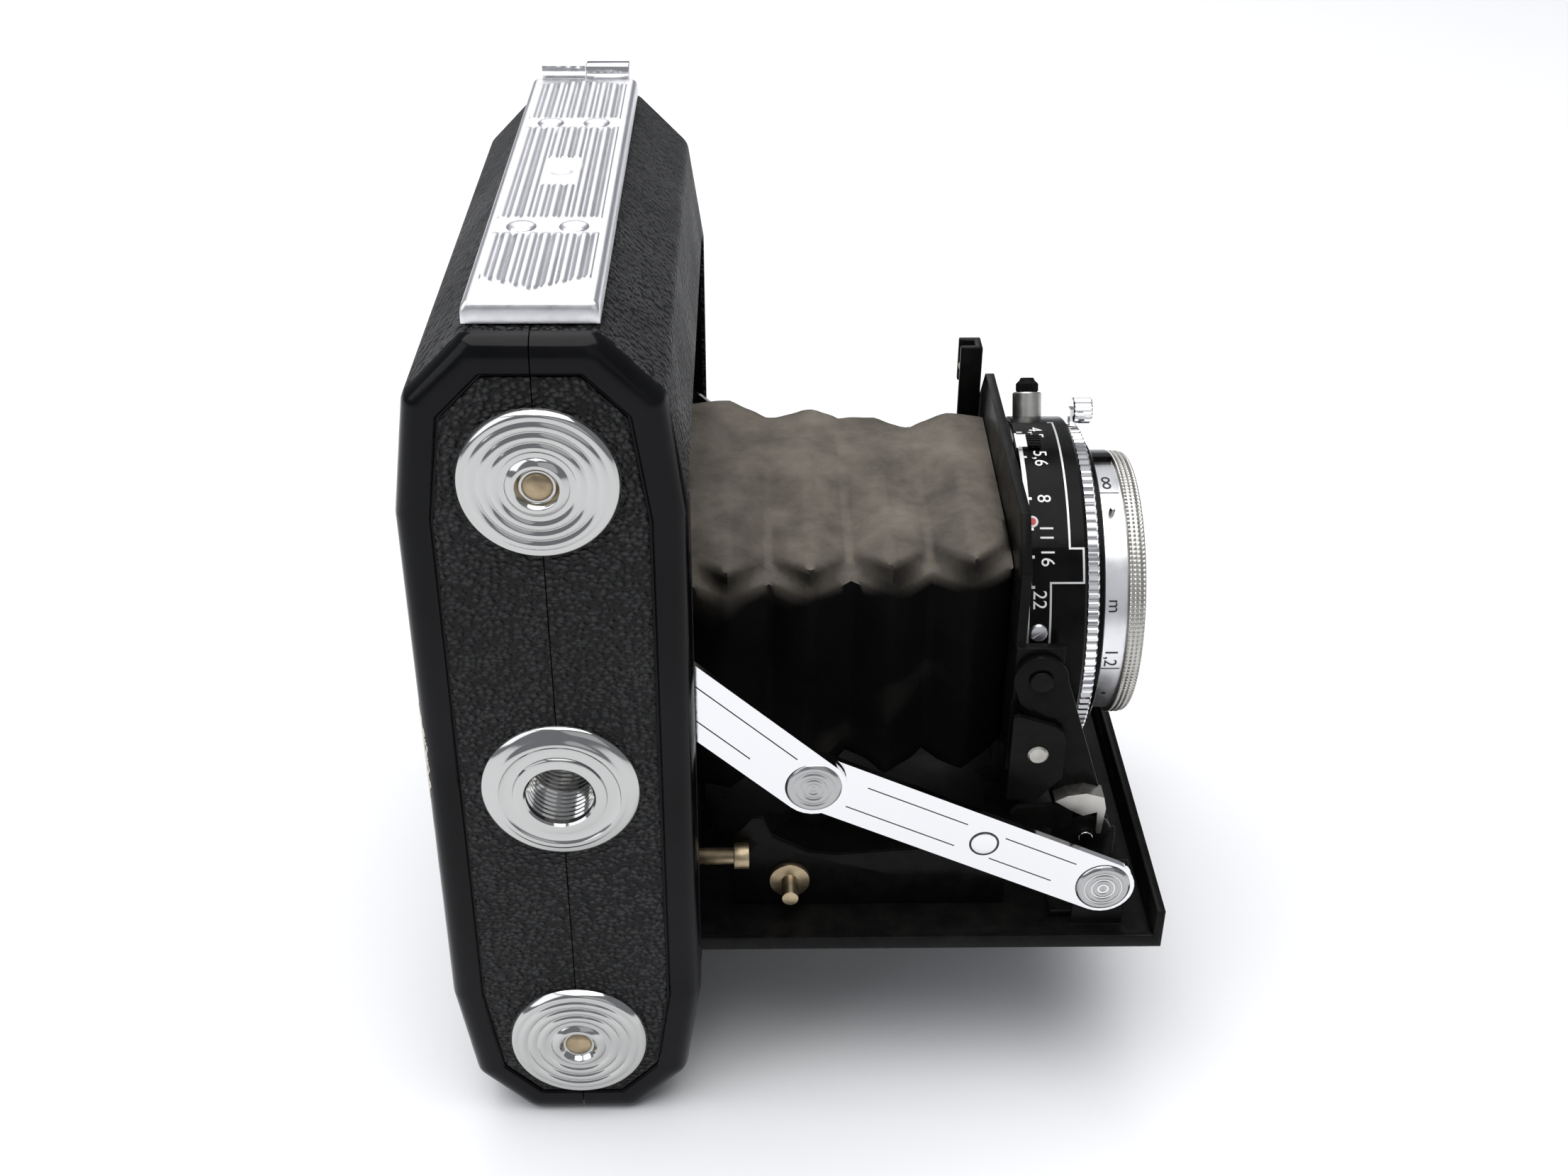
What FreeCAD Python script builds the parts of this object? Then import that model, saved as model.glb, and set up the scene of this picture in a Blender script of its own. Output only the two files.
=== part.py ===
"""Folding roll-film camera for 4.5 x 6 cm frames, opened and standing on its hinge end.

Millimetres.  The origin is the middle of the end face that the camera stands on.
+X is the way the lens looks, with X = 0 at the seam between the front and back
halves of the case.  +Z runs up the long side of the case, along which the film
travels.  -Y is the camera's base, which carries the tripod bush, and +Y is its top,
which carries the winding knob, the finder and the release.
"""
import FreeCAD, Part
import os
import re

import Sketcher

DOC = FreeCAD.newDocument("FoldingCamera")
SHEET = DOC.addObject("Spreadsheet::Sheet", "Sheet")

SIZES = {
    # case: an eight-sided box with a wide front and back and narrow shoulders
    "case_length": 114.8, "case_width": 86.0, "case_depth": 32.4,
    "end_flat": 14.2, "shoulder_span": 28.2, "shoulder_drop": 7.1, "side_drop": 21.4,
    "wall": 1.2, "hide": 0.5, "rim_band": 2.3, "panel_margin": 4.1, "groove": 0.3,
    "seam_gap": 0.1, "fit": 0.05, "play": 0.3,
    # front opening and the drop bed that closes it
    "opening_low": 23.2, "opening_high": 94.5, "opening_width": 74.6,
    "bed_hinge_x": 13.3, "bed_hinge_z": 26.4, "bed_roll": 2.9, "bed_pin": 2.0,
    "bed_reach": 64.0, "bed_width": 73.8, "bed_sheet": 1.2, "bed_rim": 1.9, "bed_lip": 6.7,
    "rim_sheet": 0.9, "brace_y": 31.3,
    # side struts: two flat links on each side, measured between their pivots
    "strut_back_x": 6.9, "strut_back_z": 71.9, "elbow_x": 30.7, "elbow_z": 50.6,
    "strut_front_x": 69.0, "strut_front_z": 32.8, "link_width": 8.4, "link_sheet": 0.9,
    "rear_link_y": 35.7, "front_link_y": 34.45, "rivet_head": 3.3, "rivet_rise": 0.35,
    "strut_pin": 2.4, "ear_sheet": 0.8,
    # carrier arms that fold the lens standard back into the case
    "arm_low_x": 67.3, "arm_low_z": 36.4, "arm_high_x": 59.7, "arm_high_z": 60.6,
    "arm_y": 27.0, "arm_sheet": 1.0, "arm_width": 7.0, "arm_pin": 2.0,
    # lens standard and shutter, on the lens axis
    "axis_z": 58.4, "standard_x": 56.5, "standard_sheet": 1.3, "standard_width": 50.0,
    "standard_top": 80.9, "standard_foot": 36.6, "lug_top": 83.3,
    "shutter_depth": 8.2, "shutter_span": 46.0, "speed_ring_depth": 1.7, "speed_ring_span": 44.4,
    "front_plate_depth": 1.2, "front_plate_span": 40.0, "focus_depth": 3.3, "focus_span": 35.2,
    "knurl_depth": 2.4, "knurl_span": 36.4, "glass_span": 17.0, "rear_cell_span": 21.0,
    # film path
    "spool_spacing": 84.0, "spool_mid_z": 55.9, "spool_flange": 23.8, "spool_core": 11.0,
    "spool_length": 63.0, "spool_flange_sheet": 0.8, "spool_bore": 6.4, "spool_pin": 5.6,
    "gate_x": -8.4, "gate_sheet": 1.0, "gate_wide": 56.0, "gate_high": 42.0, "gate_mid_z": 58.4,
    "roller": 3.2, "plate_wide": 60.0, "plate_high": 52.0, "plate_sheet": 0.8,
    # base face: spool discs and the tripod bush
    "disc_span": 18.3, "disc_rise": 1.1, "bush_span": 19.3, "bush_rise": 1.6,
    "bush_bore": 8.2, "bush_depth": 6.5, "bush_hub": 12.0,
    # top end: the sliding back latch
    "latch_width": 14.6, "latch_length": 79.0, "latch_sheet": 1.0, "latch_rise": 2.8,
    "latch_near_y": -39.6,
    # top face: knob, finder, releases
    "knob_span": 17.0, "knob_height": 7.5, "finder_width": 17.0, "finder_length": 30.0,
    "button_span": 6.5, "button_travel": 2.5,
    # back hinge and film window
    "back_hinge_z": 0.9, "back_pin": 0.9, "back_swing_room": 1.2, "heel_width": 8.0,
    "window_span": 9.0, "window_z": 44.0, "window_slide": 11.0,
    # leg under the bed, which the open camera stands on
    "leg_hinge_x": 64.0, "leg_hinge_z": 22.1, "leg_roll": 1.8, "leg_width": 13.0, "leg_sheet": 1.2,
    "leg_foot_x": 68.5,
    # bellows
    "bellows_back_x": -6.0, "bellows_gap": 0.4, "bellows_wall": 1.2,
    "bellows_back_wide": 58.0, "bellows_back_high": 44.0,
    "bellows_front_wide": 43.0, "bellows_front_high": 33.0,
}
for row, (alias, value) in enumerate(SIZES.items(), start=1):
    SHEET.set(f"A{row}", str(value))
    SHEET.setAlias(f"A{row}", alias)
DOC.recompute()

NODES = {}
ALONG = {
    "X": FreeCAD.Rotation(FreeCAD.Vector(0, 1, 0), 90),
    "Y": FreeCAD.Rotation(FreeCAD.Vector(1, 0, 0), -90),
    "Z": FreeCAD.Rotation(),
}
# sketch planes: local x and y lie along the two named axes
PLANES = {
    "XZ": FreeCAD.Rotation(FreeCAD.Vector(1, 0, 0), 90),
    "YZ": FreeCAD.Rotation(FreeCAD.Vector(1, 1, 1), 120),
    "XY": FreeCAD.Rotation(),
}
SIDES = {"near": "-1", "far": "1"}


# Places that more than one piece uses, worked out from the sheet.
PLACES = {
    "CASE_TOP": "(case_width / 2)",
    "INNER_WALL": "(case_width / 2 - wall - hide)",
    "RELEASE_X": "9", "RELEASE_Z": "(spool_mid_z + 17)",
    "CATCH_X": "9", "CATCH_Z": "(spool_mid_z - 17)",
    "BED_UNDER": "(bed_hinge_z - bed_roll)",
    "BED_FLOOR": "(bed_hinge_z - bed_roll + hide + bed_sheet)",
    "BED_START": "(bed_hinge_x + bed_roll - 0.2)",
    "BED_END": "(bed_hinge_x + bed_reach)",
    "SHUTTER_X": "(standard_x + standard_sheet)",
    "RING_X": "(standard_x + standard_sheet + shutter_depth)",
    "PLATE_X": "(standard_x + standard_sheet + shutter_depth + speed_ring_depth)",
    "FOCUS_X": "(standard_x + standard_sheet + shutter_depth + speed_ring_depth + front_plate_depth)",
    "KNURL_X": "(standard_x + standard_sheet + shutter_depth + speed_ring_depth + front_plate_depth"
               " + focus_depth)",
    "LENS_END": "(standard_x + standard_sheet + shutter_depth + speed_ring_depth + front_plate_depth"
                " + focus_depth + knurl_depth)",
    "BACK_X": "(case_depth / 2)",
    "LATCH_LOW": "(case_length + fit)",
}


# ---------------------------------------------------------------- helpers
def cells(text):
    """Point every named place and size in an expression at its cells."""
    text = str(text)
    for place, meaning in PLACES.items():
        text = re.sub(rf"\b{place}\b", meaning, text)
    return re.sub(r"[a-z][a-z_]+", lambda m: "Sheet." + m[0] if m[0] in SIZES else m[0], text)


def bind(thing, **sizes):
    for name, text in sizes.items():
        thing.setExpression(name, cells(text))
    return thing


def at(thing, x="0", y="0", z="0", turn=None):
    """Place an object; every coordinate is an expression."""
    if turn is not None:
        thing.Placement = FreeCAD.Placement(FreeCAD.Vector(), turn)
    for axis, text in zip("xyz", (x, y, z)):
        thing.setExpression(f"Placement.Base.{axis}", cells(text))
    return thing


def box(name, x, y, z):
    """A box between low and high expressions on each axis."""
    thing = DOC.addObject("Part::Box", name)
    spans = [f"({high}) - ({low})" for low, high in (x, y, z)]
    bind(thing, Length=spans[0], Width=spans[1], Height=spans[2])
    return at(thing, x[0], y[0], z[0])


def rod(name, axis, span, low, high, a, b):
    """A cylinder of a diameter along an axis from low to high; a, b are the other two."""
    thing = bind(DOC.addObject("Part::Cylinder", name), Radius=f"({span}) / 2", Height=f"({high}) - ({low})")
    spots = {"X": (low, a, b), "Y": (a, low, b), "Z": (a, b, low)}[axis]
    return at(thing, *spots, turn=ALONG[axis])


def taper(name, axis, span_low, span_high, low, high, a, b):
    """A cone frustum along an axis from low to high."""
    thing = bind(DOC.addObject("Part::Cone", name), Radius1=f"({span_low}) / 2",
                 Radius2=f"({span_high}) / 2", Height=f"({high}) - ({low})")
    spots = {"X": (low, a, b), "Y": (a, low, b), "Z": (a, b, low)}[axis]
    return at(thing, *spots, turn=ALONG[axis])


def outline_sketch(name, points):
    sketch = DOC.addObject("Sketcher::SketchObject", name)
    spots = [FreeCAD.Vector(*[starting_value(text) for text in pair]) for pair in points]
    count = len(points)
    for i in range(count):
        sketch.addGeometry(Part.LineSegment(spots[i], spots[(i + 1) % count]), False)
    for i in range(count):
        sketch.addConstraint(Sketcher.Constraint("Coincident", i, 2, (i + 1) % count, 1))
    for i, pair in enumerate(points):
        for kind, text, value in zip(("DistanceX", "DistanceY"), pair, spots[i]):
            index = sketch.addConstraint(Sketcher.Constraint(kind, -1, 1, i, 1, value))
            sketch.setExpression(f"Constraints[{index}]", cells(text))
    return sketch


def starting_value(text):
    """Where a sketch point starts, before its constraints are solved."""
    return float(SHEET.evalExpression(cells(text)))


def prism(name, points, plane, low, high):
    """Extrude a closed outline along the plane's normal, from low to high."""
    sketch = outline_sketch(name + "Outline", points)
    middle = f"(({low}) + ({high})) / 2"
    spots = {"XZ": ("0", middle, "0"), "YZ": (middle, "0", "0"), "XY": ("0", "0", middle)}[plane]
    at(sketch, *spots, turn=PLANES[plane])
    thing = DOC.addObject("Part::Extrusion", name)
    thing.Base = sketch
    thing.DirMode = "Normal"
    thing.Solid = True
    thing.Symmetric = True
    bind(thing, LengthFwd=f"({high}) - ({low})")
    return thing


def cut(name, base, *tools):
    for step, tool in enumerate(tools):
        result = DOC.addObject("Part::Cut", f"{name}{step}")
        result.Base, result.Tool = base, tool
        base = result
    return base


def fuse(name, *shapes):
    thing = DOC.addObject("Part::MultiFuse", name)
    thing.Shapes = list(shapes)
    return thing


def common(name, first, second):
    thing = DOC.addObject("Part::MultiCommon", name)
    thing.Shapes = [first, second]
    return thing


def group(name, *shapes):
    thing = DOC.addObject("Part::Compound", name)
    thing.Links = list(shapes)
    return thing


def node(name, thing):
    thing.Label = name
    NODES[name] = thing
    return thing


def span_y(side, inner, outer):
    """Low and high Y of a layer between two distances from the mid plane."""
    return (f"-({outer})", f"-({inner})") if side == "near" else (inner, outer)


# ---------------------------------------------------------------- case
# How far each corner of the outline moves for each millimetre of inset: front and
# back faces, shoulders, ends.
MITRE = ((1.0, 0.08), (0.94, 0.47), (0.42, 1.0))


def case_outline(inset):
    half = [("case_depth / 2", "case_length / 2 - side_drop"),
            ("shoulder_span / 2", "case_length / 2 - shoulder_drop"),
            ("end_flat / 2", "case_length / 2")]
    corners = [(f"{x} - ({inset}) * {mx}", f"{z} - ({inset}) * {mz}")
               for (x, z), (mx, mz) in zip(half, MITRE)]
    points = []
    quarters = (("", "+", corners), ("-", "+", corners[::-1]), ("-", "-", corners), ("", "-", corners[::-1]))
    for x_sign, z_sign, row in quarters:
        points += [(f"{x_sign}({x})", f"case_length / 2 {z_sign} ({z})") for x, z in row]
    return points


def case_prism(name, inset, half_width):
    return prism(name, case_outline(inset), "XZ", f"-({half_width})", half_width)


def half_box(name, front):
    x = ("0", "case_depth") if front else ("-case_depth", "-seam_gap")
    return box(name, x, ("-case_width", "case_width"), ("-10", "case_length + 10"))


def shell(name, front):
    """One half of the pressed steel case, with recesses for its leather."""
    block = case_prism(name + "Block", "0", "case_width / 2")
    inside = case_prism(name + "Inside", "wall + hide", "case_width / 2 - wall - hide")
    wrap = cut(name + "Wrap", case_prism(name + "WrapOut", "-1", "case_width / 2 - rim_band"),
               case_prism(name + "WrapIn", "hide", "case_width / 2"))
    solid = cut(name + "Hollow", block, inside, wrap)
    for side in SIDES:
        recess = prism(name + side + "Recess", case_outline("panel_margin"), "XZ",
                       *span_y(side, "case_width / 2 - hide", "case_width / 2 + 1"))
        solid = cut(name + side + "Sunk", solid, recess)
    return common(name + "Half", solid, half_box(name + "Side", front))


def opening_box(name, margin, x_low="0"):
    return box(name, (x_low, "case_depth"),
               (f"-opening_width / 2 - {margin}", f"opening_width / 2 + {margin}"),
               (f"opening_low - {margin}", f"opening_high + {margin}"))


def spool_z(top):
    return f"spool_mid_z {'+' if top else '-'} spool_spacing / 2"


def face_holes(name, extra):
    """Holes in the side walls for spool pins, and for the tripod bush on the base."""
    holes = [rod(f"{name}Pin{top}", "Y", f"spool_pin + 1.6 + {extra}", "-case_width", "case_width",
                 "0", spool_z(top)) for top in (True, False)]
    bush = rod(name + "Bush", "Y", f"bush_hub + {extra}", "-case_width", "-case_width / 4", "0",
               "spool_mid_z")
    return fuse(name, bush, *holes)


def hinge_knuckles():
    """Rolled knuckles along the back hinge: those of the front half, then the door's."""
    knuckles = []
    knuckle = "2 * back_hinge_z - fit"
    bore = rod("KnuckleBore", "Y", "back_pin + 2 * fit", "-case_width", "case_width", "0", "back_hinge_z")
    half = "heel_width / 2"
    front_spans = (("-28", "-14.2"), (f"-{half}", half), ("14.2", "28"))
    door_spans = (("-41", "-28.2"), ("-14", f"-{half} - play"), (f"{half} + play", "14"), ("28.2", "41"))
    for name, spans, x in (("back_hinge_knuckles", front_spans, ("0", "2.4")),
                           ("back_door_knuckles", door_spans, ("-2.2", "0"))):
        parts = []
        for i, (low, high) in enumerate(spans):
            barrel = rod(f"{name}Barrel{i}", "Y", knuckle, low, high, "0", "back_hinge_z")
            leaf = box(f"{name}Leaf{i}", x, (low, high), ("back_hinge_z", "back_hinge_z * 2 - fit"))
            if name == "back_hinge_knuckles":
                foot = box(f"{name}Foot{i}", ("1.6", "3.6"), (low, high),
                           ("back_hinge_z * 2 - 2 * fit", "wall + hide + 0.2"))
                leaf = fuse(f"{name}Arm{i}", leaf, foot)
                if low == f"-{half}":
                    heel = box("HingeHeel", ("-back_hinge_z", "1.6"), (low, high), ("0", "back_hinge_z"))
                    leaf = fuse("HeelArm", leaf, heel)
            else:
                foot = box(f"{name}Foot{i}", ("-3.4", "-1.4"), (low, high),
                           ("wall + hide + fit", "wall + hide + 0.2"))
                web = box(f"{name}Web{i}", ("-1.4", "-0.2"), (low, high),
                          ("back_hinge_z", "wall + hide + 0.2"))
                leaf = fuse(f"{name}Arm{i}", foot, web)
            parts.append(fuse(f"{name}Solid{i}", barrel, leaf))
        knuckles.append(cut(name + "Cut", group(name + "Set", *parts), bore))
    return knuckles


def make_case():
    front = shell("Front", True)
    base_bore = face_holes("FrontHoles", "2 * fit")
    pin_hole = rod("FrontPinHole", "Y", "bed_pin", "-case_width / 2 + wall / 2", "case_width / 2 - wall / 2",
                   "bed_hinge_x", "bed_hinge_z")
    hinge_room = box("FrontHingeRoom", ("-1", "back_hinge_z + back_swing_room / 2"),
                     ("-case_width", "case_width"),
                     ("-1", "back_hinge_z * 2 + fit"))
    bosses = []
    for side in SIDES:
        y = span_y(side, "opening_width / 2 + fit", "case_width / 2 - wall")
        bosses.append(rod("BedBoss" + side, "Y", "bed_pin + 2.4", *y, "bed_hinge_x", "bed_hinge_z"))
        y = span_y(side, "rear_link_y + link_sheet / 2 + play", "case_width / 2 - wall")
        bosses.append(rod("StrutBoss" + side, "Y", "strut_pin + 4", *y, "strut_back_x", "strut_back_z"))
    release = rod("ReleaseHole", "Y", "button_span - 2 + 4 * fit", "0", "case_width", "RELEASE_X",
                  "RELEASE_Z")
    catch = rod("CatchHole", "Y", "button_span - 2 + 4 * fit", "0", "case_width", "CATCH_X", "CATCH_Z")
    solid = cut("FrontCut", fuse("FrontSolid", front, *bosses), opening_box("Mouth", "0"), base_bore,
                pin_hole, hinge_room, release, catch)
    front_knuckles, door_knuckles = hinge_knuckles()
    node("front_shell", fuse("FrontShell", solid, front_knuckles))

    back = shell("Back", False)
    window = rod("BackWindow", "X", "window_span", "-case_depth", "0", "0", "window_z")
    hinge_cut = rod("BackHingeCut", "Y", "2 * back_hinge_z + 2 * fit", "-case_width", "case_width",
                    "0", "back_hinge_z")
    heel_cut = rod("BackHeelCut", "Y", "3 * back_hinge_z", "-heel_width / 2 - play", "heel_width / 2 + play",
                   "0", "back_hinge_z")
    keeper = box("LatchKeeper", ("1.2 - latch_width / 2", "-fit"), ("CASE_TOP - 2.5", "CASE_TOP"),
                 ("case_length - wall", "case_length + latch_rise + 1.2"))
    back = cut("BackCut", back, face_holes("BackHoles", "1"), window, hinge_cut, heel_cut)
    node("back_door", fuse("BackDoor", back, keeper, door_knuckles))


def leather_half(name, front):
    """The leather of one half: the long wrap, and the panels on the base and top faces."""
    hug = "hide - fit"
    ring = cut(name + "Ring", case_prism(name + "RingOut", "0", "case_width / 2 - rim_band - fit"),
               case_prism(name + "RingIn", hug, "case_width"))
    ring = common(name + "RingHalf", ring, half_box(name + "RingSide", front))
    panels = []
    for side in SIDES:
        panel = prism(name + side + "Panel", case_outline("panel_margin + groove"), "XZ",
                      *span_y(side, "case_width / 2 - hide + fit", "case_width / 2"))
        panels.append(common(name + side + "Half", panel, half_box(name + side + "Side", front)))
    return ring, panels


def make_leather():
    ring, panels = leather_half("FrontHide", True)
    latch_room = box("LatchRoom", ("-latch_width / 2", "latch_width / 2"),
                     ("-case_width", "case_width"), ("case_length - 1", "case_length + 1"))
    hinge_room = box("HideHingeRoom", ("-2.2", "2.2"), ("-case_width", "case_width"), ("-1", "2"))
    wrap = cut("FrontHideCut", ring, opening_box("HideMouth", "groove"), latch_room, hinge_room)
    holes = face_holes("HideHoles", "1.2")
    buttons = [rod("HideRelease", "Y", "button_span + 1", "0", "case_width", "RELEASE_X", "RELEASE_Z"),
               rod("HideCatch", "Y", "button_span + 1", "0", "case_width", "CATCH_X", "CATCH_Z")]
    node("front_leather", group("FrontLeather", wrap, cut("FrontPanels", group("FrontPanelPair", *panels),
                                                          holes, *buttons)))
    ring, panels = leather_half("BackHide", False)
    window = rod("HideWindow", "X", "window_span + 5", "-case_depth", "0", "0", "window_z")
    wrap = cut("BackHideCut", ring, latch_room, hinge_room, window)
    node("back_leather", group("BackLeather", wrap, cut("BackPanels", group("BackPanelPair", *panels),
                                                        holes)))


def make_back_fittings():
    """Hinge, pressure plate, its springs, the film window and its cover."""
    pin_low, pin_high = "-case_width / 2 + 1", "case_width / 2 - 1"
    node("back_hinge_pin", rod("BackPin", "Y", "back_pin", pin_low, pin_high, "0", "back_hinge_z"))
    inner = "-case_depth / 2 + wall + hide"
    plate_x = ("gate_x - gate_sheet - plate_sheet", "gate_x - gate_sheet")
    mid = "gate_mid_z"
    node("pressure_plate", box("PressurePlate", (plate_x[0] + " - fit", plate_x[1] + " - fit"),
                               ("-plate_wide / 2", "plate_wide / 2"),
                               (f"{mid} - plate_high / 2", f"{mid} + plate_high / 2")))
    springs = []
    for i, lift in enumerate(("-14", "14")):
        springs.append(box(f"PlateSpring{i}", (inner + " + fit", plate_x[0] + " - 2 * fit"), ("-18", "18"),
                           (f"{mid} + {lift} - 2.5", f"{mid} + {lift} + 2.5")))
    node("pressure_springs", group("PressureSprings", *springs))
    node("film_window", rod("FilmWindow", "X", "window_span - 2 * fit", "-BACK_X + hide + fit",
                            inner + " - fit", "0", "window_z"))
    ring = cut("WindowRingCut", rod("WindowRingOut", "X", "window_span + 4", "-BACK_X - 0.6",
                                    "-BACK_X + hide",
                                    "0", "window_z"),
               rod("WindowRingIn", "X", "window_span - 1", "-case_depth", "0", "0", "window_z"))
    cover_x = ("-BACK_X - 1.5", "-BACK_X - 0.65")
    plate = prism("CoverPlate", [("-6.4", "window_z - 6.4"), ("6.4", "window_z - 6.4"),
                                 ("6.4", "window_z + 6.4"),
                                 ("-6.4", "window_z + 6.4")], "YZ", *cover_x)
    tab = box("CoverTab", ("-BACK_X - 2.3", "-BACK_X - 1.45"), ("-4", "4"),
              ("window_z + 4", "window_z + 5.4"))
    node("window_cover", fuse("WindowCover", plate, tab))
    rails = []
    for i, sign in enumerate("-+"):
        y_in, y_out = f"{sign}6.5", f"{sign}8.4"
        low, high = (y_out, y_in) if sign == "-" else (y_in, y_out)
        lip = (f"{sign}8.4", f"{sign}5.8") if sign == "-" else (f"{sign}5.8", f"{sign}8.4")
        z = ("window_z - 7", "window_z + 7 + window_slide")
        post = box(f"RailPost{i}", ("-BACK_X - 1.6", "-BACK_X"), (low, high), z)
        over = box(f"RailLip{i}", ("-BACK_X - 2.1", "-BACK_X - 1.58"), lip, z)
        rails.append(fuse(f"Rail{i}", post, over))
    node("window_frame", group("WindowFrame", ring, *rails))


def make_film_path():
    """Gate, guide rollers, and the two spools."""
    mid = "gate_mid_z"
    gate_z = (f"{mid} - 24.6", f"{mid} + 24.6")
    cheek = "(INNER_WALL - play)"
    plate = box("GatePlate", ("gate_x - gate_sheet", "gate_x"), ("-" + cheek, cheek), gate_z)
    hole = box("GateHole", ("gate_x - 3", "gate_x + 3"), ("-gate_wide / 2", "gate_wide / 2"),
               (f"{mid} - gate_high / 2", f"{mid} + gate_high / 2"))
    cheeks = []
    for side in SIDES:
        cheeks.append(box("Cheek" + side, ("gate_x", "2.6"), span_y(side, cheek + " - 0.9", cheek), gate_z))
        cheeks.append(box("CheekPad" + side, ("0.4", "2.6"), span_y(side, cheek, "INNER_WALL - fit / 2"),
                          gate_z))
    hub = rod("GateBush", "Y", "bush_hub + 1.4", "-case_width", "0", "0", "spool_mid_z")
    ring = cut("BellowsSeat", box("BellowsSeatOut", ("gate_x - fit", "bellows_back_x - fit"),
                                  ("-31.5", "31.5"),
                                  (f"{mid} - 24.4", f"{mid} + 24.4")),
               box("BellowsSeatIn", ("gate_x - 1", "bellows_back_x + 1"), ("-gate_wide / 2", "gate_wide / 2"),
                   (f"{mid} - gate_high / 2", f"{mid} + gate_high / 2")))
    node("film_gate", cut("FilmGate", fuse("GateSolid", plate, ring, *cheeks), hole, hub))
    rollers = [rod(f"Roller{i}", "Y", "roller", "-31", "31", "gate_x - gate_sheet + roller / 2",
                   f"{mid} {sign} (24.6 + roller / 2 + play)") for i, sign in enumerate("-+")]
    node("film_rollers", group("FilmRollers", *rollers))
    for name, top in (("take_up_spool", True), ("supply_spool", False)):
        z = spool_z(top)
        half = "spool_length / 2"
        core = rod(name + "Core", "Y", "spool_core", f"-{half}", half, "0", z)
        ends = [rod(name + "End" + side, "Y", "spool_flange",
                    *span_y(side, f"{half} - spool_flange_sheet", half), "0", z) for side in SIDES]
        slot = box(name + "Slot", ("-0.6", "0.6"), ("-24", "24"), (f"{z} - spool_core", f"{z} + spool_core"))
        bore = rod(name + "Bore", "Y", "spool_bore", "-case_width", "case_width", "0", z)
        keyway = box(name + "Key", ("-4", "4"), (f"{half} - 2.4", f"{half} + 1"),
                     (f"{z} - 0.7", f"{z} + 0.7"))
        node(name, cut(name + "Cut", fuse(name + "Solid", core, *ends), bore, slot, keyway))


def make_base_fittings():
    """Pressed spool discs and the stepped tripod bush on the base face."""
    discs = []
    for name, top in (("UpperDisc", True), ("LowerDisc", False)):
        z = spool_z(top)
        face = "-(CASE_TOP + fit)"
        flange = taper(name + "Flange", "Y", "disc_span - 2.4", "disc_span", f"{face} - disc_rise", face, "0",
                       z)
        cup = taper(name + "Cup", "Y", "4.6", "6.4", f"{face} - disc_rise - 0.7", f"{face} - disc_rise + 0.1",
                    "0", z)
        rings = []
        for i, span in enumerate(("14.6", "11.6", "8.6")):
            outer = rod(f"{name}RingOut{i}", "Y", span, f"{face} - disc_rise - 0.35",
                        f"{face} - disc_rise + 0.1",
                        "0", z)
            inner = rod(f"{name}RingIn{i}", "Y", f"{span} - 1.5", f"{face} - disc_rise - 1",
                        f"{face} - disc_rise + 0.2", "0", z)
            rings.append(cut(f"{name}Ring{i}", outer, inner))
        well = rod(name + "Well", "Y", "3.4", f"{face} - disc_rise - 1", f"{face} - disc_rise + 0.3", "0", z)
        pin = rod(name + "Pin", "Y", "spool_pin", face, "-spool_length / 2 + 3", "0", z)
        tip = rod(name + "Tip", "Y", "2.6", f"{face} - disc_rise - 0.45", f"{face} - disc_rise + 0.4", "0", z)
        base = cut(name + "Plate", fuse(name + "Solid", flange, cup, *rings), well)
        discs.append(fuse(name + "Whole", base, pin, tip))
    node("spool_discs", group("SpoolDiscs", *discs))
    face = "-(CASE_TOP + fit)"
    z = "spool_mid_z"
    flange = taper("BushFlange", "Y", "bush_span - 1.6", "bush_span", f"{face} - bush_rise + 0.7", face, "0",
                   z)
    step = rod("BushStep", "Y", "bush_span - 4.6", f"{face} - bush_rise + 0.3", face, "0", z)
    collar = rod("BushCollar", "Y", "bush_hub - 0.6", f"{face} - bush_rise", face, "0", z)
    hub = rod("BushHub", "Y", "bush_hub", face, f"{face} - bush_rise + bush_depth + 0.8", "0", z)
    bore = rod("BushBore", "Y", "bush_bore", f"{face} - 5", f"{face} - bush_rise + bush_depth", "0", z)
    node("tripod_bush", cut("TripodBush", fuse("BushSolid", flange, step, collar, hub), bore))


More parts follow.
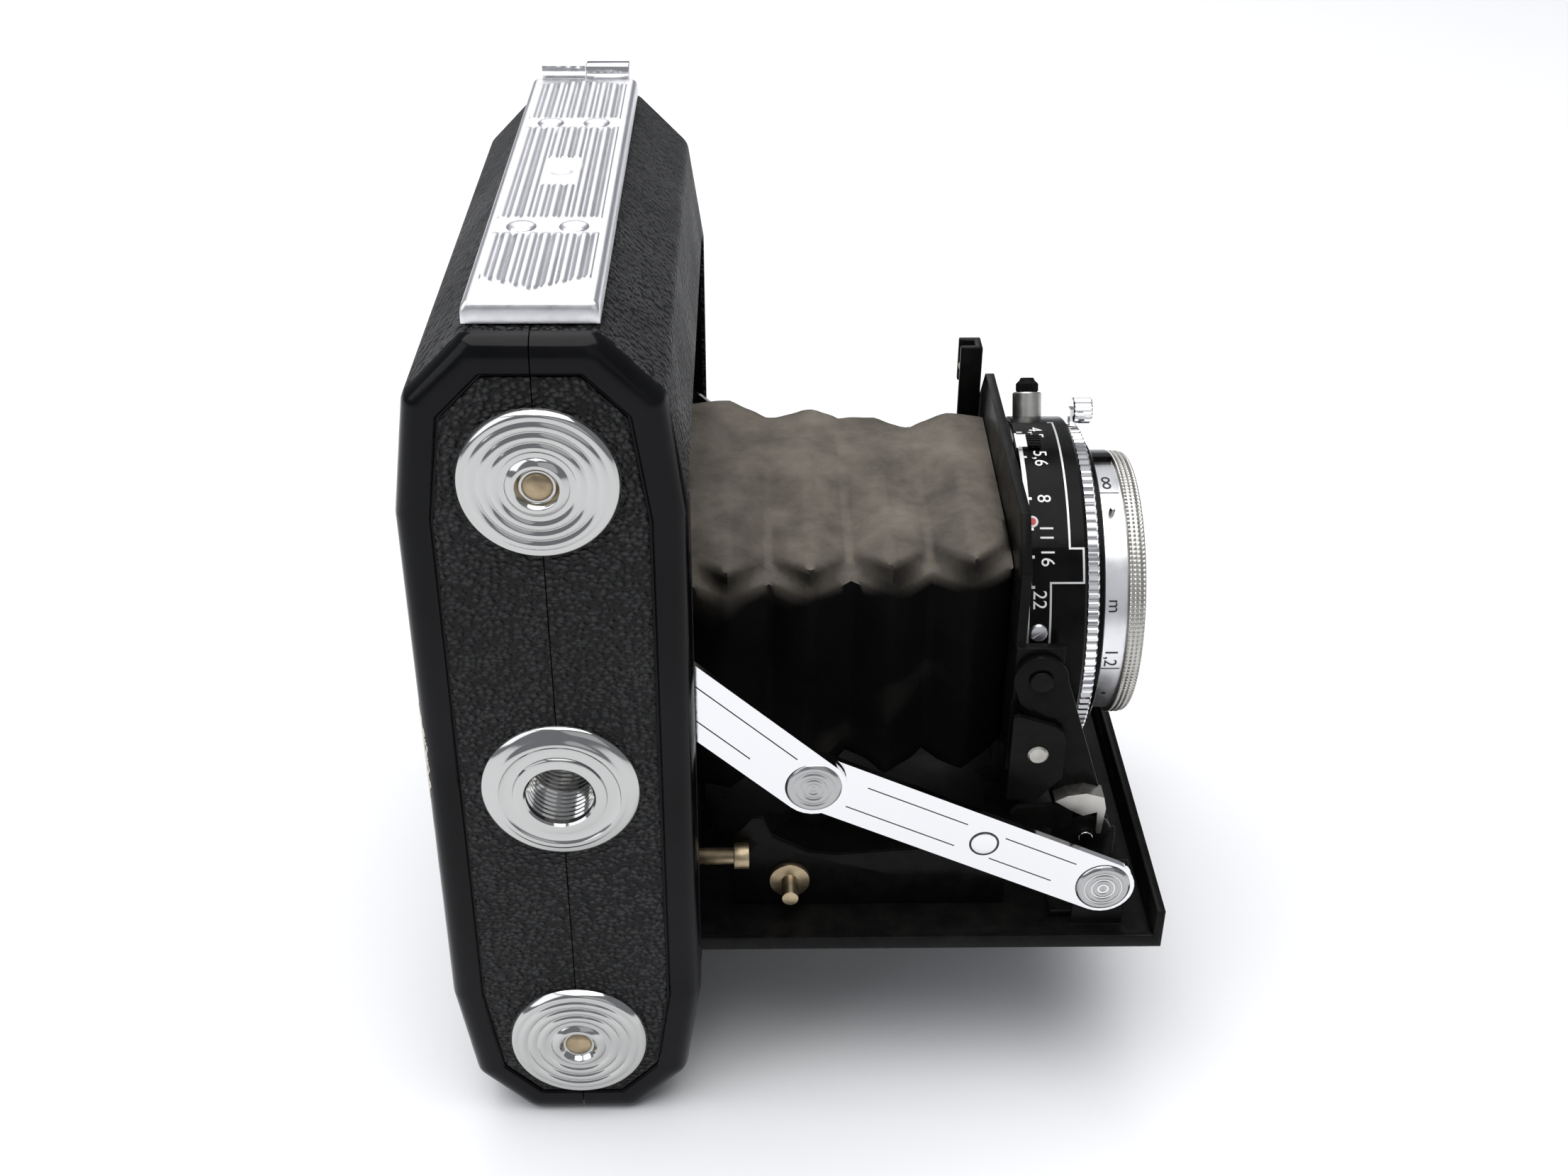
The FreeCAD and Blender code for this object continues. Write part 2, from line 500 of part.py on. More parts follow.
def make_latch():
    """The fluted plate that slides along the end face, on its headed guide posts."""
    low = "case_length + play"
    high = "case_length + latch_rise"
    near, far = "latch_near_y", "latch_near_y + latch_length"
    half = "latch_width / 2"
    skin = box("LatchSkin", (f"-{half}", half), (near, far), (f"{high} - latch_sheet", high))
    rims = [box(f"LatchRim{i}", span, (near, far), (low, high)) for i, span in
            enumerate(((f"-{half}", f"-{half} + 0.9"), (f"{half} - 0.9", half)))]
    nose = box("LatchNose", (f"-{half}", half), (near, f"{near} + 1"), (low, high))
    ribs = []
    for field, (start, end) in enumerate((("3.6", "19"), ("24.5", "56.5"), ("60.8", "75.2"))):
        for i in range(8):
            x = f"({i} - 3.5) * 1.4"
            ribs.append(box(f"Rib{field}{i}", (f"{x} - 0.36", f"{x} + 0.36"),
                            (f"{near} + {start}", f"{near} + {end}"), (f"{high} - 0.2", f"{high} + 0.28")))
    node("back_latch", fuse("LatchSolid", skin, *rims, nose, *ribs))
    heads = []
    for y in (f"{near} + 21.6", f"{near} + 58.8"):
        for x in ("-2.75", "2.75"):
            head = DOC.addObject("Part::Sphere", "LatchRivet")
            bind(head, Radius="2.2")
            at(head, x, y, f"{high} - 1.5")
            keep = box("RivetKeep", (f"{x} - 3", f"{x} + 3"), (f"{y} - 3", f"{y} + 3"),
                       (f"{high} + fit / 5", f"{high} + 2"))
            heads.append(common("LatchRivetTop", head, keep))
    node("latch_rivets", group("LatchRivets", *heads))
    posts = []
    for i, y in enumerate(("-18", "19")):
        stem = rod(f"LatchStem{i}", "Z", "2", "case_length - hide", "case_length + 1.1", "0", y)
        head = rod(f"LatchHead{i}", "Z", "4.4", "case_length + 0.9", "case_length + 1.2", "0", y)
        posts.append(fuse(f"LatchPost{i}", stem, head))
    anchor = box("LatchAnchor", ("fit", "latch_width / 2 - 1.2"), ("CASE_TOP - 2.5", "CASE_TOP"),
                  ("LATCH_LOW", "case_length + latch_rise + 1.2"))
    node("latch_guides", group("LatchGuides", anchor, *posts))


def make_top_fittings():
    """Winding knob, folding frame finder, shutter release and bed catch on the top face."""
    face = "CASE_TOP"
    z = spool_z(True)
    knob = rod("KnobBody", "Y", "knob_span", f"{face} + play", f"{face} + knob_height", "0", z)
    dish = rod("KnobDish", "Y", "knob_span - 5", f"{face} + knob_height - 0.8", f"{face} + knob_height + 1",
               "0", z)
    shaft = rod("KnobShaft", "Y", "spool_pin", "spool_length / 2 - 2.2", f"{face} + 1", "0", z)
    key = box("KnobKey", ("-3.6", "3.6"), ("spool_length / 2 - 2", "spool_length / 2 - 0.2"),
              (f"{z} - 0.45", f"{z} + 0.45"))
    grooves = []
    for i in range(24):
        groove = rod(f"KnobGroove{i}", "Y", "1.1", f"{face} + 1.2", f"{face} + knob_height + 1",
                     f"cos({i * 15}) * knob_span / 2", f"{z} + sin({i * 15}) * knob_span / 2")
        grooves.append(groove)
    node("winding_knob", cut("KnobCut", fuse("KnobSolid", knob, shaft, key), dish,
                             group("KnobGrooves", *grooves)))
    z = spool_z(False)
    cap = taper("SpoolPinCap", "Y", "9", "7", face + " + fit", face + " + 1.4", "0", z)
    stud = rod("SpoolPinStud", "Y", "spool_pin", "spool_length / 2 - 2.6", face + " + 0.3", "0", z)
    node("supply_spool_pin", fuse("SupplyPin", cap, stud))
    for name, x, z, travel in (("release_button", "RELEASE_X", "RELEASE_Z", "button_travel"),
                               ("bed_catch_button", "CATCH_X", "CATCH_Z", "button_travel")):
        top = rod(name + "Cap", "Y", "button_span", f"{face} + {travel} + 0.3", f"{face} + {travel} + 1.5", x,
                  z)
        stem = rod(name + "Stem", "Y", "button_span - 2", f"{face} - 3.4", f"{face} + {travel} + 1", x, z)
        node(name, fuse(name + "Solid", top, stem))
    mid = "spool_mid_z"
    half = "finder_width / 2"
    ends = (f"{mid} - finder_length / 2", f"{mid} + finder_length / 2")
    plate = box("FinderPlate", (f"-{half} + 4", f"{half} - 4"), (face + " + fit", face + " + 1"), ends)
    ears = []
    for i, z in enumerate((f"{ends[0]} + 1.2", f"{ends[1]} - 1.2")):
        for j, x in enumerate((("-4.4", "-3.5"), ("3.5", "4.4"))):
            ears.append(box(f"FinderEar{i}{j}", x, (face + " + 0.9", face + " + 2.9"),
                            (f"{z} - 0.9", f"{z} + 0.9")))
    node("finder_base", fuse("FinderBase", plate, *ears))
    for name, z, sign, lift in (("finder_front_frame", f"({ends[0]} + 1.2)", "+", "2.1"),
                                ("finder_rear_frame", f"({ends[1]} - 1.2)", "-", "2.1")):
        length = "12"
        near_z, far_z = (z, f"{z} {sign} {length}")
        low, high = (near_z, far_z) if sign == "+" else (far_z, near_z)
        y = (f"{face} + {lift} - 0.5", f"{face} + {lift} + 0.5")
        rim = box(name + "Rim", ("-7", "7"), y, (f"{low} {'+ 1.6' if sign == '+' else ''}",
                                               f"{high} {'- 1.6' if sign == '-' else ''}"))
        hole = box(name + "Hole", ("-5.6", "5.6"), (f"{face} + 1", f"{face} + 4"),
                   (f"{low} + 3", f"{high} - 3"))
        tongue = box(name + "Tongue", ("-3.3", "3.3"), y, (f"{z} - 0.5" if sign == "+" else f"{z} - 1.8",
                                                          f"{z} + 1.8" if sign == "+" else f"{z} + 0.5"))
        roll = rod(name + "Roll", "X", "1.6", "-3.3", "3.3", f"{face} + {lift}", z)
        pins = rod(name + "Pins", "X", "0.8", "-3.4", "3.4", f"{face} + {lift}", z)
        node(name, fuse(name + "Solid", cut(name + "Frame", rim, hole), tongue, roll, pins))


def make_bed():
    """The drop bed: a rolled hinge, a floor with low rims, a tall front lip, and what it carries."""
    half = "bed_width / 2"
    roll = rod("BedRoll", "Y", "2 * bed_roll", f"-{half}", half, "bed_hinge_x", "bed_hinge_z")
    floor = box("BedFloor", ("bed_hinge_x", "BED_END"), (f"-{half}", half), ("BED_UNDER + hide", "BED_FLOOR"))
    rims = [box("BedRim" + side, ("bed_hinge_x + 1", "BED_END"), span_y(side, f"{half} - rim_sheet", half),
                ("BED_UNDER + hide", "BED_UNDER + hide + bed_rim")) for side in SIDES]
    lip = box("BedLip", ("BED_END - bed_sheet", "BED_END"), (f"-{half}", half),
              ("BED_UNDER + hide", "BED_UNDER + bed_lip"))
    bore = rod("BedBore", "Y", "bed_pin + 2 * fit", "-case_width", "case_width", "bed_hinge_x", "bed_hinge_z")
    ears = [box("StrutEar" + side, ("strut_front_x - 3.4", "strut_front_x + 3.4"),
                span_y(side, "front_link_y - link_sheet / 2 - play - ear_sheet",
                       "front_link_y - link_sheet / 2 - play"),
                ("BED_FLOOR - fit", "strut_front_z + 3")) for side in SIDES]
    node("bed", cut("BedCut", fuse("BedSolid", roll, floor, *rims, lip, *ears), bore))
    node("bed_hinge_pin", rod("BedPin", "Y", "bed_pin - fit / 5", "-case_width / 2 + wall + hide + 0.2",
                              "case_width / 2 - wall - hide - 0.2", "bed_hinge_x", "bed_hinge_z"))
    node("bed_leather", box("BedLeather", ("BED_START + 1.2", "BED_END - 1"), (f"-{half} + 1", f"{half} - 1"),
                            ("BED_UNDER", "BED_UNDER + hide - fit / 5")))
    plates, pegs, rods = [], [], []
    top = "bed_hinge_z"
    profile = [("20.4", "BED_FLOOR + fit"), ("20.4", f"{top} + 10.5"), ("22.8", f"{top} + 13.6"),
               ("24.4", f"{top} + 13.6"),
               ("25.6", f"{top} + 10.6"), ("30.4", f"{top} + 7.8"), ("34", f"{top} + 7.2"), ("46",
                                                                                             f"{top} + 8.2"),
               ("57", f"{top} + 3.6"), ("57", "BED_FLOOR + fit")]
    for side in SIDES:
        plates.append(prism("SidePlate" + side, profile, "XZ", *span_y(side, "28.6", "29.4")))
        disc = rod("PegDisc" + side, "Y", "5.4", *span_y(side, "29.4 + fit / 5", "30.2"), "28",
                   f"{top} + 3.6")
        stem = rod("PegStem" + side, "Y", "2.2", *span_y(side, "30.1", "33.7"), "28", f"{top} + 3.6")
        pegs.append(fuse("Peg" + side, disc, stem))
        bar = rod("BraceBar" + side, "X", "2.2", "15.6", "22.2", "-brace_y" if side == "near" else "brace_y",
                  f"{top} + 9")
        collar = rod("BraceCollar" + side, "X", "3.4", "20.6", "22.6",
                     "-brace_y" if side == "near" else "brace_y", f"{top} + 9")
        clip = box("BraceClip" + side, ("20.8", "22.4"), span_y(side, "29.4 + fit / 5", "brace_y"),
                   (f"{top} + 8.2", f"{top} + 9.8"))
        rods.append(fuse("Brace" + side, bar, collar, clip))
    node("bed_side_plates", group("BedSidePlates", *plates))
    node("bed_side_fittings", group("BedFittings", *pegs, *rods))
    brackets, pins = [], []
    for side in SIDES:
        y = span_y(side, "arm_y + arm_sheet / 2 + play", "arm_y + arm_sheet / 2 + play + 1")
        leg = box("BracketLeg" + side, ("arm_low_x - 4.4", "arm_low_x + 4"), y,
                  ("BED_FLOOR + fit", "arm_low_z + 1"))
        eye = rod("BracketEye" + side, "Y", "7", *y, "arm_low_x", "arm_low_z")
        foot = box("BracketFoot" + side, ("arm_low_x - 4.4", "arm_low_x + 4"),
                   span_y(side, "arm_y + arm_sheet / 2 + play", "arm_y + arm_sheet / 2 + play + 4.4"),
                   ("BED_FLOOR + fit", "BED_FLOOR + 1"))
        brackets.append(fuse("Bracket" + side, leg, eye, foot))
        y = span_y(side, "arm_y - arm_sheet / 2 - 0.7", "arm_y + arm_sheet / 2 + play + 1.5")
        pins.append(rod("ArmPin" + side, "Y", "arm_pin - 2 * fit", *y, "arm_low_x", "arm_low_z"))
    bores = rod("BracketBores", "Y", "arm_pin - 1.6 * fit", "-case_width", "case_width", "arm_low_x",
                "arm_low_z")
    node("carrier_brackets", cut("BracketCut", group("Brackets", *brackets), bores))
    return pins


def link(name, y, start, end, bore_end):
    """A flat strut: a bar with round ends, between two pivots given as (x, z)."""
    (x0, z0), (x1, z1) = start, end
    long = f"sqrt(({x1} - ({x0}))^2 + ({z1} - ({z0}))^2)"
    ux, uz = f"(({x1} - ({x0})) / {long})", f"(({z1} - ({z0})) / {long})"
    w = "(link_width / 2)"
    corners = [(f"{x0} - {uz} * {w}", f"{z0} + {ux} * {w}"), (f"{x1} - {uz} * {w}", f"{z1} + {ux} * {w}"),
               (f"{x1} + {uz} * {w}", f"{z1} - {ux} * {w}"), (f"{x0} + {uz} * {w}", f"{z0} - {ux} * {w}")]
    bar = prism(name + "Bar", corners, "XZ", *y)
    ends = [rod(f"{name}End{i}", "Y", "link_width", *y, x, z) for i, (x, z) in enumerate((start, end))]
    bx, bz = (start, end)[bore_end]
    bore = rod(name + "Bore", "Y", "strut_pin + 2 * fit", "-case_width", "case_width", bx, bz)
    return cut(name + "Link", fuse(name + "Flat", bar, *ends), bore)


def make_struts(carrier_pins):
    back = ("strut_back_x", "strut_back_z")
    elbow = ("elbow_x", "elbow_z")
    front = ("strut_front_x", "strut_front_z")
    body_pins, bed_pins = [], list(carrier_pins)
    rears, fronts, heads = [], [], []
    for side in SIDES:
        y_rear = span_y(side, "rear_link_y - link_sheet / 2", "rear_link_y + link_sheet / 2")
        y_front = span_y(side, "front_link_y - link_sheet / 2", "front_link_y + link_sheet / 2")
        rears.append(link(f"RearStrut{side}", y_rear, back, elbow, 0))
        fronts.append(link(f"FrontStrut{side}", y_front, elbow, front, 1))
        head = rod("ElbowHead" + side, "Y", "2 * rivet_head",
                   *span_y(side, "rear_link_y + link_sheet / 2 + fit / 5",
                           "rear_link_y + link_sheet / 2 + rivet_rise"),
                   *elbow)
        heads.append(head)
        body_pins.append(rod("RearPivot" + side, "Y", "strut_pin",
                             *span_y(side, "rear_link_y - link_sheet / 2 - 0.3",
                                     "rear_link_y + link_sheet / 2 + play - fit / 5"), *back))
        pin = rod("FrontPivot" + side, "Y", "strut_pin",
                  *span_y(side, "front_link_y - link_sheet / 2 - play + fit / 5",
                          "front_link_y + link_sheet / 2 + fit"),
                  *front)
        cap = rod("FrontPivotHead" + side, "Y", "2 * rivet_head",
                  *span_y(side, "front_link_y + link_sheet / 2 + fit",
                          "front_link_y + link_sheet / 2 + fit + rivet_rise"),
                  *front)
        bed_pins.append(fuse("FrontPivotSet" + side, pin, cap))
    node("rear_struts", group("RearStruts", *rears))
    node("front_struts", group("FrontStruts", *fronts))
    node("elbow_rivets", group("ElbowRivets", *heads))
    node("rear_strut_pivots", group("RearPivots", *body_pins))
    node("bed_pivot_pins", group("BedPivotPins", *bed_pins))


def make_standard():
    """Carrier arms, the lens standard with its lug, and the spring wire under it."""
    arms, pivots = [], []
    for side in SIDES:
        y = span_y(side, "arm_y - arm_sheet / 2", "arm_y + arm_sheet / 2")
        lean = [("arm_low_x - 3.2", "arm_low_z + 0.6"), ("arm_high_x - 3.2", "arm_high_z - 1.4"),
                ("arm_high_x + 3", "arm_high_z + 1.6"), ("arm_low_x + 3.2", "arm_low_z + 1.4")]
        bar = prism("Arm" + side, lean, "XZ", *y)
        eyes = [rod(f"ArmEye{side}{i}", "Y", "arm_width", *y, x, z) for i, (x, z) in
                enumerate((("arm_low_x", "arm_low_z"), ("arm_high_x", "arm_high_z")))]
        bores = [rod(f"ArmBore{side}{i}", "Y", "arm_pin", "-case_width", "case_width", x, z) for i, (x, z) in
                 enumerate((("arm_low_x", "arm_low_z"), ("arm_high_x", "arm_high_z")))]
        arms.append(cut("ArmCut" + side, fuse("ArmSolid" + side, bar, *eyes), *bores))
        stem = rod("StandardPivot" + side, "Y", "arm_pin - 2 * fit",
                   *span_y(side, "standard_width / 2 + 1 + fit / 5",
                           "arm_y + arm_sheet / 2 + play"), "arm_high_x", "arm_high_z")
        head = rod("StandardPivotHead" + side, "Y", "arm_pin + 1",
                   *span_y(side, "arm_y + arm_sheet / 2 + play / 2",
                           "arm_y + arm_sheet / 2 + 0.6"), "arm_high_x", "arm_high_z")
        pivots.append(fuse("StandardPivotSet" + side, stem, head))
    node("carrier_arms", group("CarrierArms", *arms))
    node("standard_pivots", group("StandardPivots", *pivots))
    half = "standard_width / 2"
    x = ("standard_x", "SHUTTER_X")
    outline = [(f"-{half} + 5", "standard_top"), (f"{half} - 5", "standard_top"), (half, "standard_top - 6"),
               (half, "standard_foot + 8"), (f"{half} - 9", "standard_foot"), (f"-{half} + 9",
                                                                               "standard_foot"),
               (f"-{half}", "standard_foot + 8"), (f"-{half}", "standard_top - 6")]
    panel = prism("StandardPanel", outline, "YZ", *x)
    window = rod("StandardWindow", "X", "rear_cell_span + 2 * fit", "standard_x - 2", "SHUTTER_X + 2", "0",
                 "axis_z")
    ears = [box("StandardEar" + side, ("standard_x", "arm_high_x + 3"),
                span_y(side, f"{half} - 0.2", f"{half} + 1"),
                ("arm_high_z - 4", "arm_high_z + 4")) for side in SIDES]
    node("lens_standard", cut("StandardCut", fuse("StandardSolid", panel, *ears), window))
    lug_back = box("LugBack", ("standard_x - 3.2", "standard_x - fit"), ("23.4", "24.4"),
                   ("standard_top - 14", "lug_top"))
    lug_web = box("LugWeb", ("standard_x - 1.1", "standard_x - fit"), ("23.4", "27.2"),
                  ("standard_top - 14", "lug_top"))
    lug_face = box("LugFace", ("standard_x - 3.2", "standard_x - fit"), ("26.2", "27.2"),
                   ("lug_top - 6.5", "lug_top"))
    node("release_lug", fuse("ReleaseLug", lug_back, lug_web, lug_face))
    node("lug_roller", rod("LugRoller", "Y", "1.9", "24.4 + fit", "26.2 - fit", "standard_x - 2.2",
                           "lug_top - 3.9"))


def tube(name, span, bore, low, high):
    """A ring about the lens axis."""
    outer = rod(name + "Out", "X", span, low, high, "0", "axis_z")
    inner = rod(name + "In", "X", bore, f"{low} - 1", f"{high} + 1", "0", "axis_z")
    return cut(name + "Ring", outer, inner)


def at_angle(degrees, radius):
    """Y and Z of a point at a radius about the lens axis, from +Y towards +Z."""
    return f"cos({degrees}) * ({radius})", f"axis_z + sin({degrees}) * ({radius})"


def make_shutter():
    front_bore = "glass_span + 7"
    body = tube("ShutterBody", "shutter_span", "rear_cell_span + 1", "SHUTTER_X + fit / 5", "RING_X - fit")
    node("shutter_housing", body)
    node("speed_ring", tube("SpeedRing", "speed_ring_span", "speed_ring_span - 8", "RING_X", "PLATE_X - fit"))
    core = tube("ShutterCore", "speed_ring_span - 8.2", front_bore, "RING_X", "PLATE_X - fit")
    face = tube("FrontPlate", "front_plate_span", front_bore, "PLATE_X - fit / 2", "FOCUS_X - fit")
    node("front_plate", fuse("FrontPlateSet", core, face))
    focus = tube("FocusBand", "focus_span", "glass_span + 4.2", "FOCUS_X", "KNURL_X + 0.1")
    knurl = tube("FocusKnurl", "knurl_span", "glass_span + 4.2", "KNURL_X", "LENS_END")
    node("focus_ring", fuse("FocusRing", focus, knurl))
    cell = tube("FrontCell", "glass_span + 4", "glass_span + 2 * fit", "RING_X + 2", "LENS_END - 0.8")
    node("front_cell", cell)
    glass = DOC.addObject("Part::Sphere", "FrontGlassBall")
    bind(glass, Radius="26")
    at(glass, "LENS_END - 1.4 - 26", "0", "axis_z")
    node("front_glass", common("FrontGlass", glass, rod("FrontGlassRim", "X", "glass_span", "LENS_END - 6",
                                                      "LENS_END", "0", "axis_z")))
    node("rear_cell", tube("RearCell", "rear_cell_span", "glass_span + 2 * fit", "standard_x - 1.2",
                           "RING_X - 1"))
    node("rear_glass", rod("RearGlass", "X", "glass_span", "standard_x - 0.9", "standard_x + 2", "0",
                           "axis_z"))
    node("iris_blades", tube("Iris", "glass_span", "9", "SHUTTER_X + 1.6", "SHUTTER_X + 2"))
    node("shutter_blades", rod("ShutterBlades", "X", "glass_span", "SHUTTER_X + 3", "SHUTTER_X + 3.4", "0",
                               "axis_z"))
    scale = common("ScaleArc", tube("ScaleTube", "shutter_span + 0.8", "shutter_span + 2 * fit",
                                    "SHUTTER_X + 0.6", "RING_X - 0.6"),
                   wedge("ScaleWedge", "76", "170"))
    y, z = at_angle("164.5", "shutter_span / 2 + 0.4 + fit")
    screw = DOC.addObject("Part::Cylinder", "ScaleScrew")
    bind(screw, Radius="1.3", Height="0.6")
    at(screw, "SHUTTER_X + 2.6", y, z, turn=FreeCAD.Rotation(FreeCAD.Vector(1, 0, 0), 164.5 - 90))
    node("aperture_scale", group("ApertureScale", scale, screw))
    arm = common("ApertureArc", tube("ApertureTube", "shutter_span + 2.6", "shutter_span + 1",
                                     "SHUTTER_X + 0.4", "SHUTTER_X + 2.8"),
                 wedge("ApertureWedge", "93", "101"))
    node("aperture_lever", arm)
    socket = radial_rod("SocketStem", "62", "4", "shutter_span / 2 + fit", "shutter_span / 2 + 3.4",
                        "SHUTTER_X + 3.6")
    cap = radial_rod("SocketCap", "62", "3", "shutter_span / 2 + 3.3", "shutter_span / 2 + 5.4",
                     "SHUTTER_X + 3.6")
    node("cable_socket", fuse("CableSocket", socket, cap))
    stalk = common("CockingArc", tube("CockingTube", "speed_ring_span + 6", "speed_ring_span + 0.6",
                                      "RING_X + 0.2", "RING_X + 1.4"), wedge("CockingWedge", "74", "80"))
    knob = rod("CockingKnob", "X", "3.6", "RING_X + 0.2", "RING_X + 3.2",
               *at_angle("77", "speed_ring_span / 2 + 2.8"))
    node("cocking_lever", fuse("CockingLever", stalk, knob))
    tail = common("ReleaseArc", tube("ReleaseTube", "speed_ring_span + 5", "speed_ring_span + 0.6",
                                     "RING_X + 0.2", "RING_X + 1.4"),
                  wedge("ReleaseWedge", "236", "250"))
    node("release_lever", tail)


def wedge(name, low, high):
    """A slice about the lens axis between two angles."""
    far = "case_width"
    points = [("0", "axis_z"), *[(f"cos({a}) * {far}", f"axis_z + sin({a}) * {far}") for a in (low, high)]]
    return prism(name, points, "YZ", "standard_x - 20", "LENS_END + 20")


def radial_rod(name, degrees, span, low, high, x):
    """A round stud that stands out from the lens axis at an angle."""
    stud = bind(DOC.addObject("Part::Cylinder", name), Radius=f"({span}) / 2", Height=f"({high}) - ({low})")
    y, z = at_angle(degrees, low)
    return at(stud, x, y, z, turn=FreeCAD.Rotation(FreeCAD.Vector(1, 0, 0), float(degrees) - 90))


def make_leg():
    """The folding leg under the bed, opened to the floor."""
    half = "leg_width / 2"
    ears = []
    for i, sign in enumerate("-+"):
        low, high = (f"-{half} - 1.3", f"-{half} - 0.2") if sign == "-" else (f"{half} + 0.2",
                                                                              f"{half} + 1.3")
        ears.append(box(f"LegEar{i}", ("leg_hinge_x - 1.6", "leg_hinge_x + 1.6"), (low, high),
                        ("leg_hinge_z - 1", "BED_UNDER - fit / 5")))
    pin = rod("LegPin", "Y", "0.9", f"-{half} - 1.3", f"{half} + 1.3", "leg_hinge_x", "leg_hinge_z")
    node("leg_bracket", fuse("LegBracket", *ears, pin))
    roll = rod("LegRoll", "Y", "leg_roll", f"-{half}", half, "leg_hinge_x", "leg_hinge_z")
    blade = prism("LegBlade", [("leg_hinge_x - 0.6", "leg_hinge_z"), ("leg_hinge_x + 0.6", "leg_hinge_z"),
                               ("leg_foot_x + 0.6", "0.6"), ("leg_foot_x - 0.6",
                                                             "0.6")], "XZ", f"-{half}", half)
    foot = box("LegFoot", ("leg_foot_x - 0.6", "leg_foot_x + 4"), (f"-{half}", half), ("0", "leg_sheet"))
    bore = rod("LegBore", "Y", "0.9 + 2 * fit", "-case_width", "case_width", "leg_hinge_x", "leg_hinge_z")
    node("stand_leg", cut("LegCut", fuse("LegSolid", roll, blade, foot), bore))


def make_bellows():
    """A hollow tapering sleeve between the case and the standard."""
    def frustum(name, shrink, low, high):
        loft = DOC.addObject("Part::Loft", name)
        sections = []
        for end, x, wide, high_ in (("Back", low, "bellows_back_wide", "bellows_back_high"),
                                    ("Front", high, "bellows_front_wide", "bellows_front_high")):
            half_y, half_z = f"({wide} / 2 - {shrink})", f"({high_} / 2 - {shrink})"
            points = [(half_y, f"axis_z + {half_z}"), (f"-{half_y}", f"axis_z + {half_z}"),
                      (f"-{half_y}", f"axis_z - {half_z}"), (half_y, f"axis_z - {half_z}")]
            sketch = outline_sketch(name + end, points)
            at(sketch, x, turn=PLANES["YZ"])
            sections.append(sketch)
        loft.Sections = sections
        loft.Solid = True
        loft.Ruled = True
        return loft
    ends = ("bellows_back_x", "standard_x - bellows_gap")
    node("bellows", cut("Bellows", frustum("BellowsOut", "0", *ends),
                        frustum("BellowsIn", "bellows_wall", *ends)))


make_case()
make_leather()
make_back_fittings()
make_film_path()
make_base_fittings()
make_latch()
make_top_fittings()
make_struts(make_bed())
make_standard()
make_shutter()
make_leg()
make_bellows()
DOC.recompute()

problems = [thing.Name for thing in DOC.Objects if {"Invalid", "Error"} & set(thing.State)]
problems += [name for name, thing in NODES.items()
             if thing.Shape.isNull() or not thing.Shape.isValid() or not thing.Shape.Solids]
if problems:
    raise SystemExit(f"failed pieces: {problems}")
os.makedirs("parts", exist_ok=True)
for name, thing in NODES.items():
    thing.Shape.exportStep(f"parts/{name}.step")
print(len(NODES), "nodes,", sum(len(thing.Shape.Solids) for thing in NODES.values()), "solids")
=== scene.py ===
"""Looks of the folding roll-film camera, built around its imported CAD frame.

Lengths are in millimetres and turned into metres when a mesh is made.  +X is the way
the lens looks, -Y the base with the tripod bush, and +Z is up.
"""
import math
from math import cos, pi, radians, sin, sqrt

import bmesh
import bpy
from mathutils import Matrix, Vector, noise


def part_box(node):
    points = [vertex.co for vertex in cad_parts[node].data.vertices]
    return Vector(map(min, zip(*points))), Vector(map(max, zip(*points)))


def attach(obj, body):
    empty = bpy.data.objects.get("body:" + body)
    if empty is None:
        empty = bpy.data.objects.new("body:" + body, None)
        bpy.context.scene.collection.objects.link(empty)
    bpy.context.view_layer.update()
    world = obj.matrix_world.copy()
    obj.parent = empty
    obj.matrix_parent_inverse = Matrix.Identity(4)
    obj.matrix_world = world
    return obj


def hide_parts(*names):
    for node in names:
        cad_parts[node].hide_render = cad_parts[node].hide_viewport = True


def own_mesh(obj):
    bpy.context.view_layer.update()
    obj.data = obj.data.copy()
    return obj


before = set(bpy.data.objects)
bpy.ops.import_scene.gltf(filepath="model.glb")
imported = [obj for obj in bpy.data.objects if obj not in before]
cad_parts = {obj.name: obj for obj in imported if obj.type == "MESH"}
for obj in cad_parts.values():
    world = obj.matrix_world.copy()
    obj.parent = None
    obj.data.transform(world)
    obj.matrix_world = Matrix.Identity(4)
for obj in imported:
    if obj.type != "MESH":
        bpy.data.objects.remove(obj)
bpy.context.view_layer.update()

MM = 0.001


def span(*nodes):
    """Lowest and highest corners of some CAD nodes together, in millimetres."""
    boxes = [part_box(node) for node in nodes]
    low = [min(b[0][i] for b in boxes) / MM for i in range(3)]
    high = [max(b[1][i] for b in boxes) / MM for i in range(3)]
    return Vector(low), Vector(high)


def middle(*nodes):
    low, high = span(*nodes)
    return (low + high) / 2


# ------------------------------------------------------------------ driving sizes
CASE_HIGH = span("front_leather", "back_leather", "front_shell")[1]
LENGTH = CASE_HIGH.z
HALF_WIDTH = CASE_HIGH.y
HALF_DEPTH = CASE_HIGH.x
END_HALF, SHOULDER_HALF = 7.1, 14.1
SHOULDER_DROP, SIDE_DROP = 7.1, 21.4
WALL, HIDE = 1.2, 0.5
RIM_BAND = 2.3
PANEL_MARGIN = 4.1
CORNER_RADIUS, CORNER_REACH = 2.6, 2.4
WINDOW_BORE, WRAP_BORE = 9, 13.8
SEAM = 0.07
AXIS_Z = middle("focus_ring").z
SPOOL_TOP = middle("take_up_spool").z
SPOOL_LOW = middle("supply_spool").z
BUSH_Z = middle("tripod_bush").z


